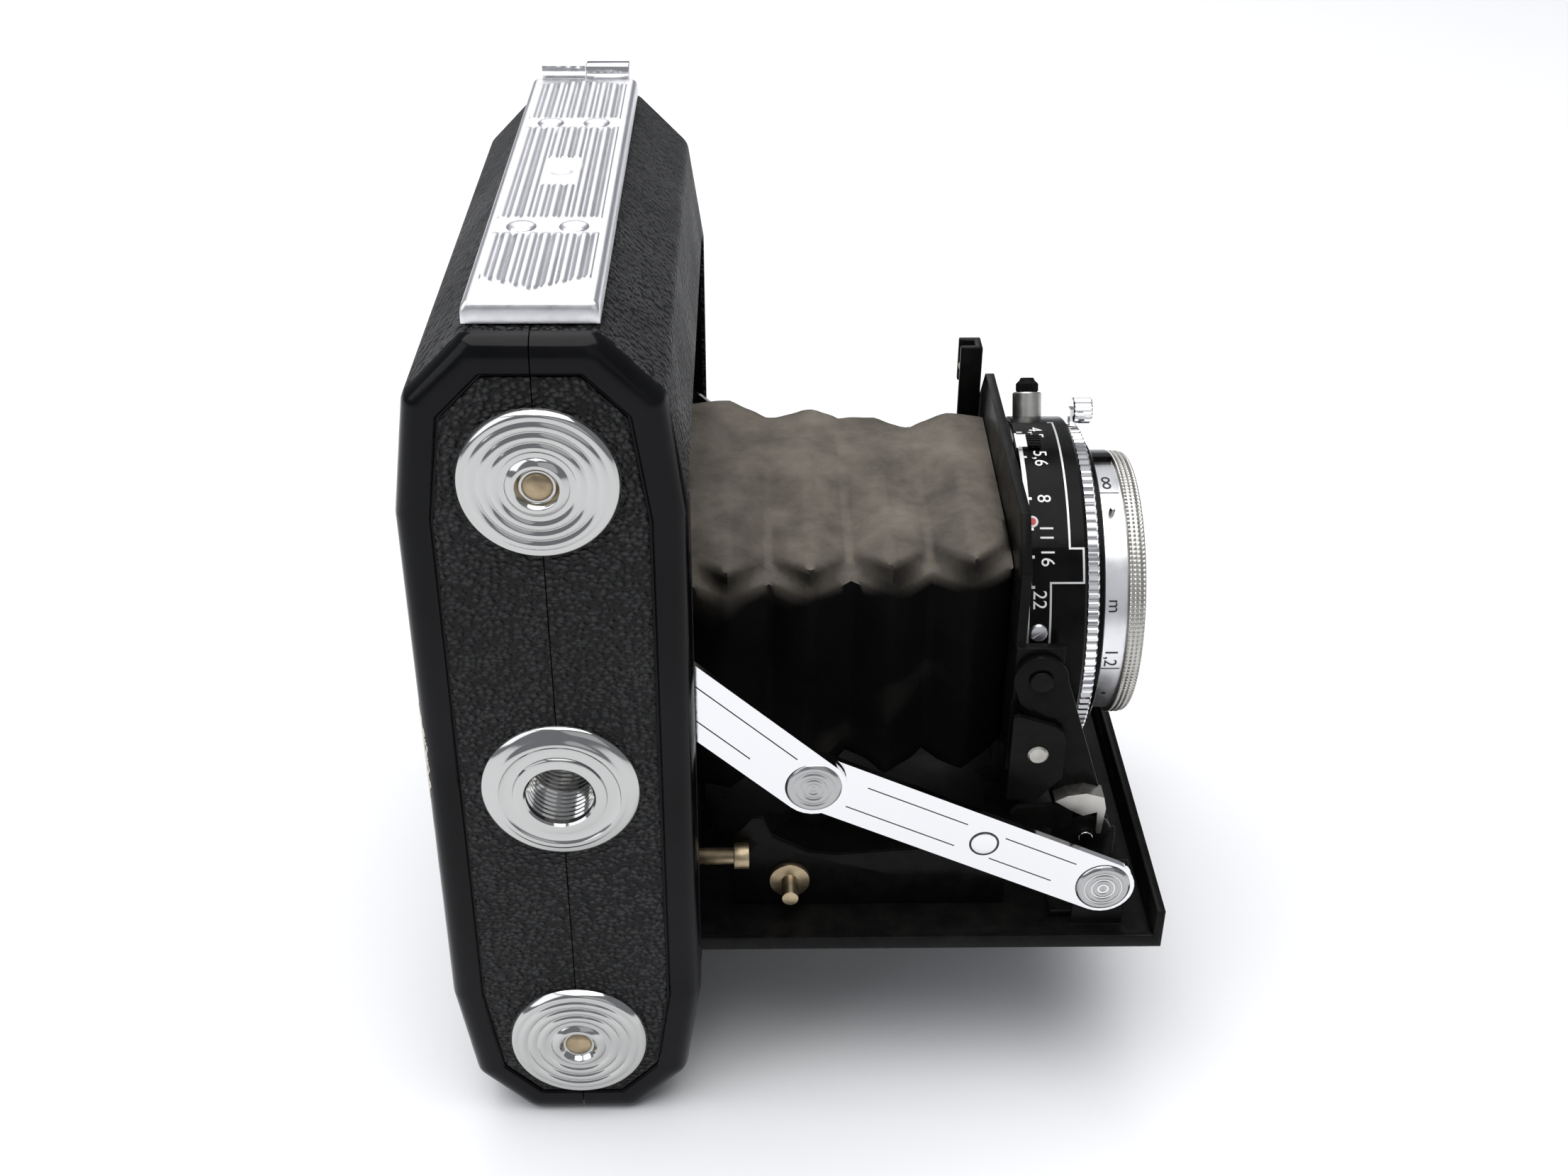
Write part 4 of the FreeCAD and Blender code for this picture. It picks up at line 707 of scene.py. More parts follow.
def make_chips():
    """Bare undercoat where the back door's edge has lost its lacquer."""
    edge = [(0.06, 2.1), (0.1, 1.8), (0.4, 1.05), (0.95, 0.45), (1.7, 0.1)]
    verts, steps = [], 60
    for i in range(steps + 1):
        z = 53.4 + 14.2 * i / steps
        rough = noise.noise(Vector((0, 5, z * 0.9))) * 0.5 + noise.noise(Vector((3, 1, z * 2.7))) * 0.4
        wide = max(0.05, sin(pi * i / steps) ** 0.4 * (1.5 + rough))
        start = 0.9 + 0.5 * noise.noise(Vector((8, 2, z * 0.6)))
        for spot, rise in ((start, -0.05), (start, 0.05), (start + wide, 0.05), (start + wide, -0.05)):
            spot = min(max(spot, 0), 3.99)
            k = int(spot)
            inset, down = (edge[k][j] + (edge[k + 1][j] - edge[k][j]) * (spot - k) for j in (0, 1))
            verts.append((-(HALF_DEPTH - inset + rise), -(HALF_WIDTH - down + rise), z))
    show(solid("bare_edge", verts, bar_faces(steps), CREAM), "back", "black_lacquer")


make_case()
make_chips()
make_discs()
make_bush()
make_latch()


# ------------------------------------------------------------------ carried-over CAD pieces
def eased(node, body, slot, material, width):
    """A copy of a CAD node's mesh with its sharp edges rounded off, which stands for the node."""
    bm = bmesh.new()
    bm.from_mesh(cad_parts[node].data)
    bmesh.ops.remove_doubles(bm, verts=bm.verts, dist=1e-6)
    bmesh.ops.dissolve_limit(bm, angle_limit=radians(1), verts=bm.verts, edges=bm.edges)
    data = bpy.data.meshes.new(node + "_eased")
    bm.to_mesh(data)
    bm.free()
    data.materials.clear()
    data.materials.append(material)
    obj = bpy.data.objects.new(node + "_eased", data)
    bpy.context.scene.collection.objects.link(obj)
    step = obj.modifiers.new("round", "BEVEL")
    step.width, step.segments, step.limit_method, step.angle_limit = width * MM, 2, "ANGLE", radians(30)
    step.use_clamp_overlap = True
    bake(obj)
    return show(obj, body, slot, node)


# ------------------------------------------------------------------ side struts
def pivot_point(*nodes):
    spot = middle(*nodes)
    return spot.x, spot.z


def round_bar(a, b, radius_a, radius_b, count=14):
    """Outline of a flat link: two round ends and the straight edges between them."""
    reach = math.dist(a, b)
    lean = math.degrees(math.atan2(b[1] - a[1], b[0] - a[0]))
    spread = math.degrees(math.acos((radius_a - radius_b) / reach))
    return (arc(b, radius_b, lean - spread, lean + spread, count)
            + arc(a, radius_a, lean + spread, lean + 360 - spread, count))


def ringed_rivet(name, centre, side, base, radius, rise, material):
    """A turned rivet head with three rolled rings and a small middle dome."""
    rings = [(radius * 0.82, radius * 0.13, 0.14), (radius * 0.55, radius * 0.12, 0.14),
             (radius * 0.3, radius * 0.1, 0.12)]
    profile = [(0, base)]
    steps = 44
    for i in range(steps + 1):
        spot = radius * (1 - i / steps)
        edge = min(1, (radius - spot) / 0.3)
        dome = 0.16 * max(0, 1 - spot / (radius * 0.16))
        profile.append((spot, base + (rise - 0.16) * sqrt(edge) + ripple(spot, rings) * min(1, edge) + dome))
    profile.insert(1, (radius, base))
    profile = [(r, side * h) for r, h in profile]
    return lathe(name, profile, "Y", (centre[0], 0, centre[1]), material, 72, 40)


def engrave(target, a, b, offsets, start, end, side, face):
    """Cut thin lines along a link between shares of its length; the dark strips on their floors come back."""
    along = Vector((b[0] - a[0], 0, b[1] - a[1]))
    across = Vector((-along.z, 0, along.x)).normalized()
    strips = []
    for offset in offsets:
        p = Vector((a[0], 0, a[1])) + along * start[0 if offset > 0 else 1] + across * offset
        q = Vector((a[0], 0, a[1])) + along * end[0 if offset > 0 else 1] + across * offset
        half = across * 0.09
        outline = [((p + half).x, (p + half).z), ((q + half).x, (q + half).z),
                   ((q - half).x, (q - half).z), ((p - half).x, (p - half).z)]
        low, high = sorted((side * (face - 0.14), side * (face + 0.2)))
        carve(target, plate("line", outline, "XZ", low, high, BLACK_INK, 0))
        low, high = sorted((side * (face - 0.16), side * (face - 0.03)))
        strips.append(plate("line", outline, "XZ", low, high, BLACK_INK, 0))
    return strips


REAR_SHEET, FRONT_SHEET, LINK_EDGE = 0.86, 0.9, 0.28
REAR_END, FRONT_END = 4.2, 4.15
LINES = (1.9, -1.9)
CAP_RADIUS, CAP_RISE = 3.6, 0.45
STUD_SHARE = 0.58


def make_struts():
    back = pivot_point("rear_strut_pivots")
    elbow = pivot_point("elbow_rivets")
    low, high = span("bed_pivot_pins")
    front = (high.x - 3.3, low.z + 3.3)
    for side in (-1, 1):
        word = "near" if side < 0 else "far"
        outer = span("rear_struts")[1].y
        inner = outer - REAR_SHEET
        rear = round_bar(back, elbow, REAR_END, REAR_END)
        link = plate("rear_link_" + word, rear, "XZ", *sorted((side * inner, side * outer)), CHROME,
                     LINK_EDGE, 3)
        lines = engrave(link, back, elbow, LINES, (0.1, 0.1), (0.86, 0.72), side, outer)
        show(join("rear_link_lines_" + word, lines), "rear_struts", "chrome")
        show(link, "rear_struts", "chrome", "rear_struts")
        cap = ringed_rivet("elbow_cap_" + word, elbow, side, outer - 0.02, CAP_RADIUS, CAP_RISE, RIVET)
        show(cap, "rear_struts", "chrome", "elbow_rivets")
        outer = span("front_struts")[1].y
        bar = plate("front_link_" + word, round_bar(elbow, front, FRONT_END, FRONT_END), "XZ",
                    *sorted((side * (outer - FRONT_SHEET), side * outer)), CHROME, LINK_EDGE, 3)
        lines = engrave(bar, elbow, front, LINES, (0.16, 0.13), (0.5, 0.5), side, outer)
        lines += engrave(bar, elbow, front, LINES, (0.63, 0.62), (0.88, 0.84), side, outer)
        show(join("front_link_lines_" + word, lines), "front_struts", "chrome")
        show(bar, "front_struts", "chrome", "front_struts")
        stud = [elbow[i] + (front[i] - elbow[i]) * STUD_SHARE for i in (0, 1)]
        head = [(0, outer - 0.1), (1.62, outer - 0.1), (1.62, outer + 0.08), (1.3, outer + 0.19),
                (0.7, outer + 0.23),
                (0, outer + 0.24)]
        boss = lathe("link_stud_" + word, [(r, side * h) for r, h in head], "Y", (stud[0], 0, stud[1]),
                     CHROME, 48)
        moat = [(1.66, outer - 0.02), (1.66, outer + 0.015), (1.95, outer + 0.015), (1.95, outer - 0.02)]
        ring = lathe("link_stud_moat_" + word, [(r, side * h) for r, h in moat], "Y", (stud[0], 0, stud[1]),
                     BLACK_INK, 48)
        show(boss, "front_struts", "chrome")
        show(ring, "front_struts", "chrome")
        cap_base = max(outer, span("bed_pivot_pins")[1].y) - 0.3
        cap = ringed_rivet("front_cap_" + word, front, side, cap_base, CAP_RADIUS, CAP_RISE, RIVET)
        show(cap, "bed", "chrome")


# ------------------------------------------------------------------ bellows
def bellows_section(fold, half_y, half_z):
    """One loop of the bellows: sharp corners on a ridge, cut and sunken ones in a valley."""
    sink = 2.4 * (1 - fold)
    small = 1.2 + 0.8 * (1 - fold)
    nip, drop, foot = 0.7 + 5.2 * (1 - fold), 0.9 + 3.2 * fold, 0.9 + 2.4 * (1 - fold)
    y, y_far, z, z_near = half_y - sink, half_y - 0.25 * sink, half_z - sink * 0.15, half_z - 0.75 * sink
    corners = [(y_far, z - small), (y_far - small, z), (nip - y, z_near), (-y, z_near - drop), (-y, foot - z),
               (foot - y, -z), (y - small, -z), (y, small - z)]
    counts = (6, 26, 6, 18, 6, 26, 6, 18)
    loop = []
    for i, count in enumerate(counts):
        (y0, z0), (y1, z1) = corners[i], corners[(i + 1) % 8]
        loop += [(y0 + (y1 - y0) * k / count, z0 + (z1 - z0) * k / count) for k in range(count)]
    return loop


def crumple(spot, share):
    """Slow dents and fine wrinkles, which die out at the glued ends."""
    slack = sin(pi * min(1, max(0, share))) ** 0.6
    slow = noise.noise(spot / 13) * 1.5 + noise.noise(spot / 6 + Vector((7, 3, 1))) * 0.7
    fine = noise.noise(spot / 2.2 + Vector((2, 9, 4))) * 0.22
    return (slow + fine) * slack


def make_bellows():
    low, high = span("bellows")
    start, end = low.x, high.x + 0.35
    pleats, steps = 6, 14
    rows, inner_rows = [], []
    for i in range(pleats * steps + 1):
        share = i / (pleats * steps)
        swing = 1 - abs(2 * ((share * pleats) % 1) - 1)
        fold = swing ** 0.85
        half_y = 21.3 + 7.6 * (1 - share) ** 1.5
        half_z = 16.6 + 7.4 * (1 - share) ** 3
        x = start + (end - start) * share
        row = []
        for y, z in bellows_section(fold, half_y, half_z):
            spot = Vector((x, y, AXIS_Z + z))
            outward = Vector((0, y / half_y, z / half_z))
            push = crumple(spot, share) - 0.6 * sin(pi * share)
            sag = -1.4 * sin(pi * share) * (1 if z > 0 else 0.5)
            row.append(spot + outward * push + Vector((0, 0, sag)))
        rows.append(row)
        centre = Vector((x, 0, AXIS_Z))
        inner_rows.append([spot + (centre - spot).normalized() * 0.7 for spot in row])
    count = len(rows[0])
    layers = rows + inner_rows[::-1]
    verts = [spot for row in layers for spot in row]
    faces = []
    for r in range(len(layers)):
        s = (r + 1) % len(layers)
        for k in range(count):
            m = (k + 1) % count
            faces.append((r * count + k, r * count + m, s * count + m, s * count + k))
    skin = solid("bellows_skin", verts, faces, BELLOWS, 60)
    smooth = skin.modifiers.new("soften", "SMOOTH")
    smooth.factor, smooth.iterations = 0.35, 2
    bake(skin, 60)
    show(skin, "case", "bellows_leather", "bellows")
    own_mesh(skin)


# ------------------------------------------------------------------ shutter and lens
HOUSING_LOW, HOUSING_HIGH = span("shutter_housing")
RING_LOW, RING_HIGH = span("speed_ring")
PLATE_LOW, PLATE_HIGH = span("front_plate")
FOCUS_LOW, FOCUS_HIGH = span("focus_ring")
HOUSING_R = (HOUSING_HIGH.z - HOUSING_LOW.z) / 2
RING_R = (RING_HIGH.z - RING_LOW.z) / 2
KNURL_R = (FOCUS_HIGH.z - FOCUS_LOW.z) / 2
BAND_R = KNURL_R - 0.6
BAND_END = FOCUS_HIGH.x - 2.4


def on_lens(angle, radius, x):
    """A place about the lens axis; angles run from the base side (-Y) up towards +Z."""
    return Vector((x, -radius * cos(radians(angle)), AXIS_Z + radius * sin(radians(angle))))


def lens_angle(spot):
    return math.degrees(math.atan2(spot.z - AXIS_Z, -spot.y))


def patch(name, x_span, angle_span, radius_span, material):
    """A curved block about the lens axis."""
    count = max(1, round(abs(angle_span[1] - angle_span[0]) / 2))
    verts = []
    for i in range(count + 1):
        angle = angle_span[0] + (angle_span[1] - angle_span[0]) * i / count
        verts += [on_lens(angle, radius, x) for x, radius in ((x_span[0], radius_span[0]),
                                                              (x_span[1], radius_span[0]),
                                                              (x_span[1], radius_span[1]), (x_span[0],
                                                                                            radius_span[1]))]
    return solid(name, verts, bar_faces(count), material)


def stud(name, angle, low, high, x, profile, material, segments=40, wave=None):
    """A turned piece that stands out from the lens axis: (radius, share of its height) pairs."""
    shape = lathe(name, [(r, low + (high - low) * h) for r, h in profile], "Z", (0, 0, 0), material, segments,
                  wave=wave)
    turn = Matrix.Rotation(radians(90 - angle), 4, "X")
    shape.data.transform(Matrix.Translation(Vector((x, 0, AXIS_Z)) * MM) @ turn)
    return shape


def figure(name, words, angle, x, height, radius, material):
    """A figure read along the rim, with its top towards the front of the lens."""
    curve = bpy.data.curves.new(name, "FONT")
    curve.body, curve.size = words, height / 0.7
    curve.align_x, curve.align_y = "CENTER", "CENTER"
    curve.extrude, curve.resolution_u = 0.04, 3
    holder = bpy.data.objects.new(name + "_curve", curve)
    bpy.context.scene.collection.objects.link(holder)
    graph = bpy.context.evaluated_depsgraph_get()
    data = bpy.data.meshes.new_from_object(holder.evaluated_get(graph), depsgraph=graph)
    bpy.data.objects.remove(holder)
    bm = bmesh.new()
    bm.from_mesh(data)
    bmesh.ops.remove_doubles(bm, verts=bm.verts, dist=1e-5)
    bpy.data.meshes.remove(data)
    for vert in bm.verts:
        u, v, depth = vert.co
        vert.co = on_lens(angle - math.degrees(u / radius), radius + depth, x + v) * MM
    return finish_mesh(name, bm, material)


def make_housing():
    low, high, r = HOUSING_LOW.x, HOUSING_HIGH.x, HOUSING_R
    profile = [(10.55, low), (21.0, low), (21.0, low + 0.55), (r - 0.3, low + 0.6), (r, low + 0.9),
               (r, high - 0.35),
               (r - 0.35, high), (10.55, high)]
    show(lathe("shutter_case", profile, "X", (0, 0, AXIS_Z), ENAMEL, 160), "standard", "black_alloy",
         "shutter_housing")
    ring = [(21.1, low + 0.04), (22.5, low + 0.04), (22.7, low + 0.2), (22.5, low + 0.5), (21.1, low + 0.5)]
    arm = lathe("aperture_ring", ring, "X", (0, 0, AXIS_Z), CHROME, 160)
    angle = lens_angle(middle("aperture_lever"))
    root = patch("aperture_arm", (low + 0.04, low + 0.33), (angle - 4, angle + 4), (21.6, r + 0.9), CHROME)
    pad = patch("aperture_arm_pad", (low + 0.1, low + 1.6), (angle - 3.4, angle + 3.4), (r + 0.42, r + 0.9),
                CHROME)
    show(join("aperture_ring", [arm, root, pad]), "aperture", "chrome", "aperture_lever")
    tips = [patch(f"aperture_tip_{i}", (low + 1.5, low + 3.3), (angle - 3.2 + 1.3 * i, angle - 2.3 + 1.3 * i),
                  (r + 0.48, r + 1.05), ENAMEL) for i in range(5)]
    base = patch("aperture_tip_base", (low + 1.4, low + 3.2), (angle - 3, angle + 2.8), (r + 0.46, r + 0.85),
                 ENAMEL)
    show(join("aperture_tip", [base, *tips]), "aperture", "black_alloy")


def make_scale():
    """The stepped scale plate: a silver outline with ticks, the stops' figures and a red dot."""
    low, r = HOUSING_LOW.x, HOUSING_R
    left, wide, reach, narrow = low + 0.35, low + 5.95, low + 7.7, low + 3.45
    top, step_a, step_b, foot = 98.5, 42.5, 31.0, 10.0
    skin = (r + 0.04, r + 0.3)
    fields = [((left, wide), (step_a, top)), ((left, reach), (step_b, step_a)),
              ((left, narrow), (foot, step_b))]
    plates = [patch(f"scale_field_{i}", xs, angles, skin, ENAMEL) for i, (xs, angles) in enumerate(fields)]
    show(join("scale_plate", plates), "standard", "scale_enamel", "aperture_scale")
    ink = (r + 0.1, r + 0.36)
    w, a = 0.26, 0.65
    lines = [((left, left + 0.55), (foot + 20, 80)), ((left, left + 0.3), (foot, foot + 20)),
             ((left, narrow), (foot, foot + a)), ((narrow - w, narrow), (foot, step_b)),
             ((narrow - w, reach), (step_b, step_b + a)), ((reach - w, reach), (step_b, step_a)),
             ((wide - w, reach), (step_a - a, step_a)), ((wide - w, wide), (step_a, top)),
             ((wide - 0.8, wide), (top - a, top))]
    lines += [((left + 0.2, left + 0.95), (angle - 0.45, angle + 0.45)) for angle in (90, 76, 59, 48.5, 39.5,
                                                                                      30)]
    strips = [patch(f"scale_line_{i}", xs, angles, ink, SILVER_INK) for i, (xs, angles) in enumerate(lines)]
    show(join("scale_lines", strips), "standard", "scale_enamel")
    marks = [figure("mark", words, angle, low + x, 1.75, r + 0.32, WHITE_INK) for words, angle, x in
             (("4,5", 90, 3.1), ("5,6", 75.5, 3.0), ("8", 59, 2.8), ("11", 47.2, 2.85), ("16", 39.4, 2.9),
              ("22", 26, 1.85))]
    show(join("scale_figures", marks), "standard", "scale_enamel")
    disc = [(0, 0), (0.85, 0), (0.85, 0.5), (0.75, 1), (0, 1)]
    show(stud("dot_ring", 51, r + 0.1, r + 0.38, low + 1.15, disc, WHITE_INK), "standard", "scale_enamel")
    core = [(0, 0), (0.5, 0), (0.5, 0.8), (0, 1)]
    show(stud("dot_core", 51, r + 0.3, r + 0.44, low + 1.15, core, RED_INK), "standard", "scale_enamel")
    head = [(0, 0), (1.15, 0), (1.15, 0.6), (0.95, 0.95), (0, 1)]
    screw = stud("scale_screw", 15.5, r + 0.05, r + 0.75, low + 1.85, head, SATIN)
    slot = block("slot", (-1.6, -0.17, r + 0.5), (1.6, 0.17, r + 2), BLACK_INK, 0)
    slot.data.transform(Matrix.Rotation(radians(35), 4, "Z"))
    turn = Matrix.Rotation(radians(90 - 15.5), 4, "X")
    slot.data.transform(Matrix.Translation(Vector((low + 1.85, 0, AXIS_Z)) * MM) @ turn)
    show(carve(screw, slot), "standard", "satin_metal")


def make_rings():
    low, high, r = RING_LOW.x, RING_HIGH.x, RING_R
    teeth = 120

    def tooth(angle, radius, height):
        if radius < r - 0.6:
            return radius, height
        swing = 0.5 + 0.5 * cos(teeth * angle)
        return radius - 0.42 * (1 - min(1, swing * 2.2)), height

    profile = [(18.4, low + 0.02), (r - 0.2, low + 0.02), (r, low + 0.2), (r, high - 0.2), (r - 0.2, high),
               (18.4, high)]
    ring = lathe("milled_ring", profile, "X", (0, 0, AXIS_Z), CHROME, teeth * 6, 30, tooth)
    show(ring, "speed_ring", "satin_metal", "speed_ring")
    plate_r = (PLATE_HIGH.z - PLATE_LOW.z) / 2
    core = [(12.05, low + 0.1), (18.1, low + 0.1), (18.1, high + 0.05), (plate_r, high + 0.1),
            (plate_r, PLATE_HIGH.x - 0.2),
            (plate_r - 0.3, PLATE_HIGH.x), (12.05, PLATE_HIGH.x)]
    show(lathe("front_disc", core, "X", (0, 0, AXIS_Z), ENAMEL, 128), "standard", "black_alloy",
         "front_plate")
    inside = 10.7
    band = [(inside, FOCUS_LOW.x), (BAND_R - 0.15, FOCUS_LOW.x), (BAND_R, FOCUS_LOW.x + 0.15),
            (BAND_R, BAND_END),
            (inside, BAND_END)]
    body = lathe("focus_band", band, "X", (0, 0, AXIS_Z), SATIN, 128)
    dots, rows, end = 190, 4, FOCUS_HIGH.x

    def knurl(angle, radius, height):
        if radius < KNURL_R - 0.4 or not BAND_END + 0.15 < height < end - 0.25:
            return radius, height
        share = (height - BAND_END) / (end - BAND_END)
        bump = max(0, cos(dots * angle)) * max(0, cos(2 * pi * (share * rows - 0.5)))
        return radius - 0.14 + 0.22 * bump, height

    profile = [(inside, BAND_END), (KNURL_R - 0.3, BAND_END), (KNURL_R - 0.12, BAND_END + 0.12)]
    steps = rows * 6
    for i in range(1, steps):
        share = i / steps
        crown = 0.35 * (2 * share - 1) ** 2 if share > 0.5 else 0
        profile.append((KNURL_R - crown * 0.9, BAND_END + (end - BAND_END) * share))
    profile += [(KNURL_R - 0.5, end - 0.05), (KNURL_R - 1.1, end), (15.6, end), (15.2, end - 0.5),
                (11.6, end - 0.9), (inside, end - 0.9)]
    grip = lathe("focus_grip", profile, "X", (0, 0, AXIS_Z), NICKEL, dots * 5, 50, knurl)
    show(join("focus_collar", [body, grip]), "focus", "satin_metal", "focus_ring")
    r = BAND_R
    x = (FOCUS_LOW.x + BAND_END) / 2
    marks = [figure("focus_mark", words, angle, x - 0.1, size, r, BLACK_INK) for words, angle, size in
             (("∞", 80, 2.1), ("m", 21, 1.7), ("1,2", -3.5, 1.7))]
    marks += [patch("focus_line", (FOCUS_LOW.x + 0.1, BAND_END - 0.3), (angle - 0.25, angle + 0.25),
                    (r - 0.1, r + 0.03),
                    BLACK_INK) for angle in (73.5, -9.5)]
    dot = [(0, 0), (0.32, 0), (0.32, 1), (0, 1)]
    marks.append(stud("focus_dot", -27.5, r - 0.1, r + 0.04, x, dot, BLACK_INK, 24))
    show(join("focus_figures", marks), "focus", "satin_metal")
    pin = [(0, 0), (0.42, 0), (0.42, 0.75), (0.28, 1), (0, 1)]
    show(stud("focus_pin", 62, r - 0.2, r + 1.5, x - 0.1, pin, STEEL, 24), "focus", "satin_metal")
    stop = patch("focus_stop", (FOCUS_LOW.x + 0.1, BAND_END - 0.1), (99, 118), (r - 0.1, r + 0.75), ENAMEL)
    show(stop, "focus", "black_alloy")


def make_glass():
    low, high = span("front_cell")
    end = high.x
    barrel = [(8.55, low.x), (10.5, low.x), (10.5, end - 0.2), (10.3, end), (9.4, end), (8.55, end - 0.9)]
    show(lathe("lens_barrel", barrel, "X", (0, 0, AXIS_Z), ENAMEL, 96), "focus", "black_alloy", "front_cell")
    show(frame_glass("front_glass"), "focus", "lens_glass", "front_glass")
    show(frame_glass("rear_glass"), "standard", "lens_glass", "rear_glass")


def frame_glass(node):
    """A lens element: a crowned front, a flat back and a ground edge."""
    low, high = span(node)
    radius = (high.z - low.z) / 2
    crown = min(1.4, (high.x - low.x) * 0.3)
    ball = (radius ** 2 + crown ** 2) / (2 * crown)
    radii = [radius * i / 16 for i in range(17)]
    dome = [(r, high.x - crown + sqrt(ball ** 2 - r ** 2) - (ball - crown)) for r in radii]
    return lathe(node + "_element", dome + [(radius, low.x), (0, low.x)], "X", (0, 0, AXIS_Z), GLASS, 96, 40)


def make_controls():
    spot = middle("cable_socket")
    angle = lens_angle(spot)
    base = HOUSING_R - 0.1
    tube = [(0, 0), (2.0, 0), (2.0, 0.95), (1.85, 1), (0, 1)]
    show(stud("release_socket", angle, base, base + 3.4, spot.x, tube, NICKEL), "standard", "satin_metal",
         "cable_socket")

    def ribs(turn, radius, height):
        return (radius - 0.12 * (1 + cos(20 * turn)) / 2 if radius > 1.2 else radius), height

    cap = [(0, 0), (1.3, 0), (1.55, 0.15), (1.55, 0.6), (1.25, 0.75), (1.1, 0.8), (0.9, 1), (0, 1)]
    show(stud("socket_cap", angle, base + 3.3, base + 5.4, spot.x, cap, INNER, 80, ribs), "standard",
         "black_alloy")
    low, high = span("cocking_lever")
    angle = lens_angle((low + high) / 2)

    def teeth(turn, radius, height):
        return (radius - 0.16 * (1 - min(1, 1 + cos(16 * turn))) if radius > 1.5 else radius), height

    y, z = on_lens(angle, RING_R + 2.3, 0).yz
    knob = [(0, low.x + 0.4), (1.6, low.x + 0.4), (1.8, low.x + 0.6), (1.8, high.x - 0.25), (1.55, high.x),
            (0, high.x)]
    head = lathe("cocking_knob", knob, "X", (0, y, z), CHROME, 96, 30, teeth)
    stem = patch("cocking_stem", (low.x + 0.05, low.x + 0.75), (angle - 2.4, angle + 2.4),
                 (RING_R + 0.35, RING_R + 2.6), CHROME)
    show(join("cocking_knob", [head, stem]), "cocking", "chrome", "cocking_lever")
    eased("release_lever", "shutter_release", "chrome", CHROME, 0.2)


# ------------------------------------------------------------------ lens standard
def make_foot():
    """The flange, hook and clip round the foot of the standard, alike on both sides."""
    for side in (-1, 1):
        word = "near" if side < 0 else "far"

        def flat(name, outline, inner, outer, material, bevel=0.2):
            return plate(name + "_" + word, outline, "XZ", *sorted((side * inner, side * outer)), material,
                         bevel)

        flange = flat("foot_flange", [(56.4, 42.6), (56.4, 55.6), (57.0, 56.0), (61.9, 54.3), (63.0, 53.4),
                                      (63.4, 52.0),
                                      (63.4, 46.2), (60.4, 42.6)], 28.0, 28.8, DUSTY)
        head = [(0, 28.7), (1.35, 28.7), (1.35, 29.0), (1.1, 29.2), (0, 29.25)]
        rivet = lathe("foot_rivet_" + word, [(r, side * h) for r, h in head], "Y", (59.9, 0, 50.0), NICKEL,
                      40)
        show(flange, "standard", "black_alloy")
        show(rivet, "standard", "steel")
        hook = flat("foot_hook", [(57.2, 38.0), (57.0, 40.6), (57.8, 41.6), (65.2, 42.2), (65.2, 38.9),
                                  (63.6, 37.6),
                                  (61.5, 38.6), (60.0, 37.2)], 28.6, 29.4, DUSTY, 0.15)
        show(hook, "carrier", "black_lacquer")
        clip = flat("foot_clip", [(62.6, 43.0), (64.2, 43.9), (66.6, 44.3), (69.0, 43.6), (69.4, 41.8),
                                  (69.1, 37.6),
                                  (68.5, 37.6), (68.3, 41.2), (66.5, 40.6), (65.0,
                                                                             41.4)], 27.2, 29.8, NICKEL, 0.35)
        show(clip, "carrier", "steel")


def make_standard():
    eased("lens_standard", "standard", "black_alloy", DUSTY, 0.25)
    eased("standard_pivots", "standard", "steel", DUSTY, 0.2)
    make_foot()
    eased("release_lug", "standard", "black_alloy", DUSTY, 0.2)
    eased("lug_roller", "standard", "brass", BRASS, 0.15)
    eased("rear_cell", "standard", "black_alloy", ENAMEL, 0.15)
    eased("iris_blades", "standard", "black_alloy", INNER, 0.05)
    eased("shutter_blades", "standard", "steel", STEEL, 0.05)
    eased("carrier_arms", "carrier", "black_lacquer", ENAMEL, 0.2)


# ------------------------------------------------------------------ bed and leg
def make_bed():
    eased("bed", "bed", "black_alloy", DUSTY, 0.3)
    eased("bed_leather", "bed", "black_leather", LEATHER, 0.15)
    eased("bed_hinge_pin", "case", "steel", STEEL, 0.15)
    eased("bed_side_plates", "bed", "black_lacquer", DUSTY, 0.15)
    eased("bed_side_fittings", "bed", "brass", BRASS, 0.15)
    eased("carrier_brackets", "bed", "black_lacquer", DUSTY, 0.2)
    eased("bed_pivot_pins", "bed", "chrome", CHROME, 0.1)
    eased("leg_bracket", "bed", "steel", STEEL, 0.1)
    eased("stand_leg", "leg", "black_lacquer", LACQUER, 0.2)


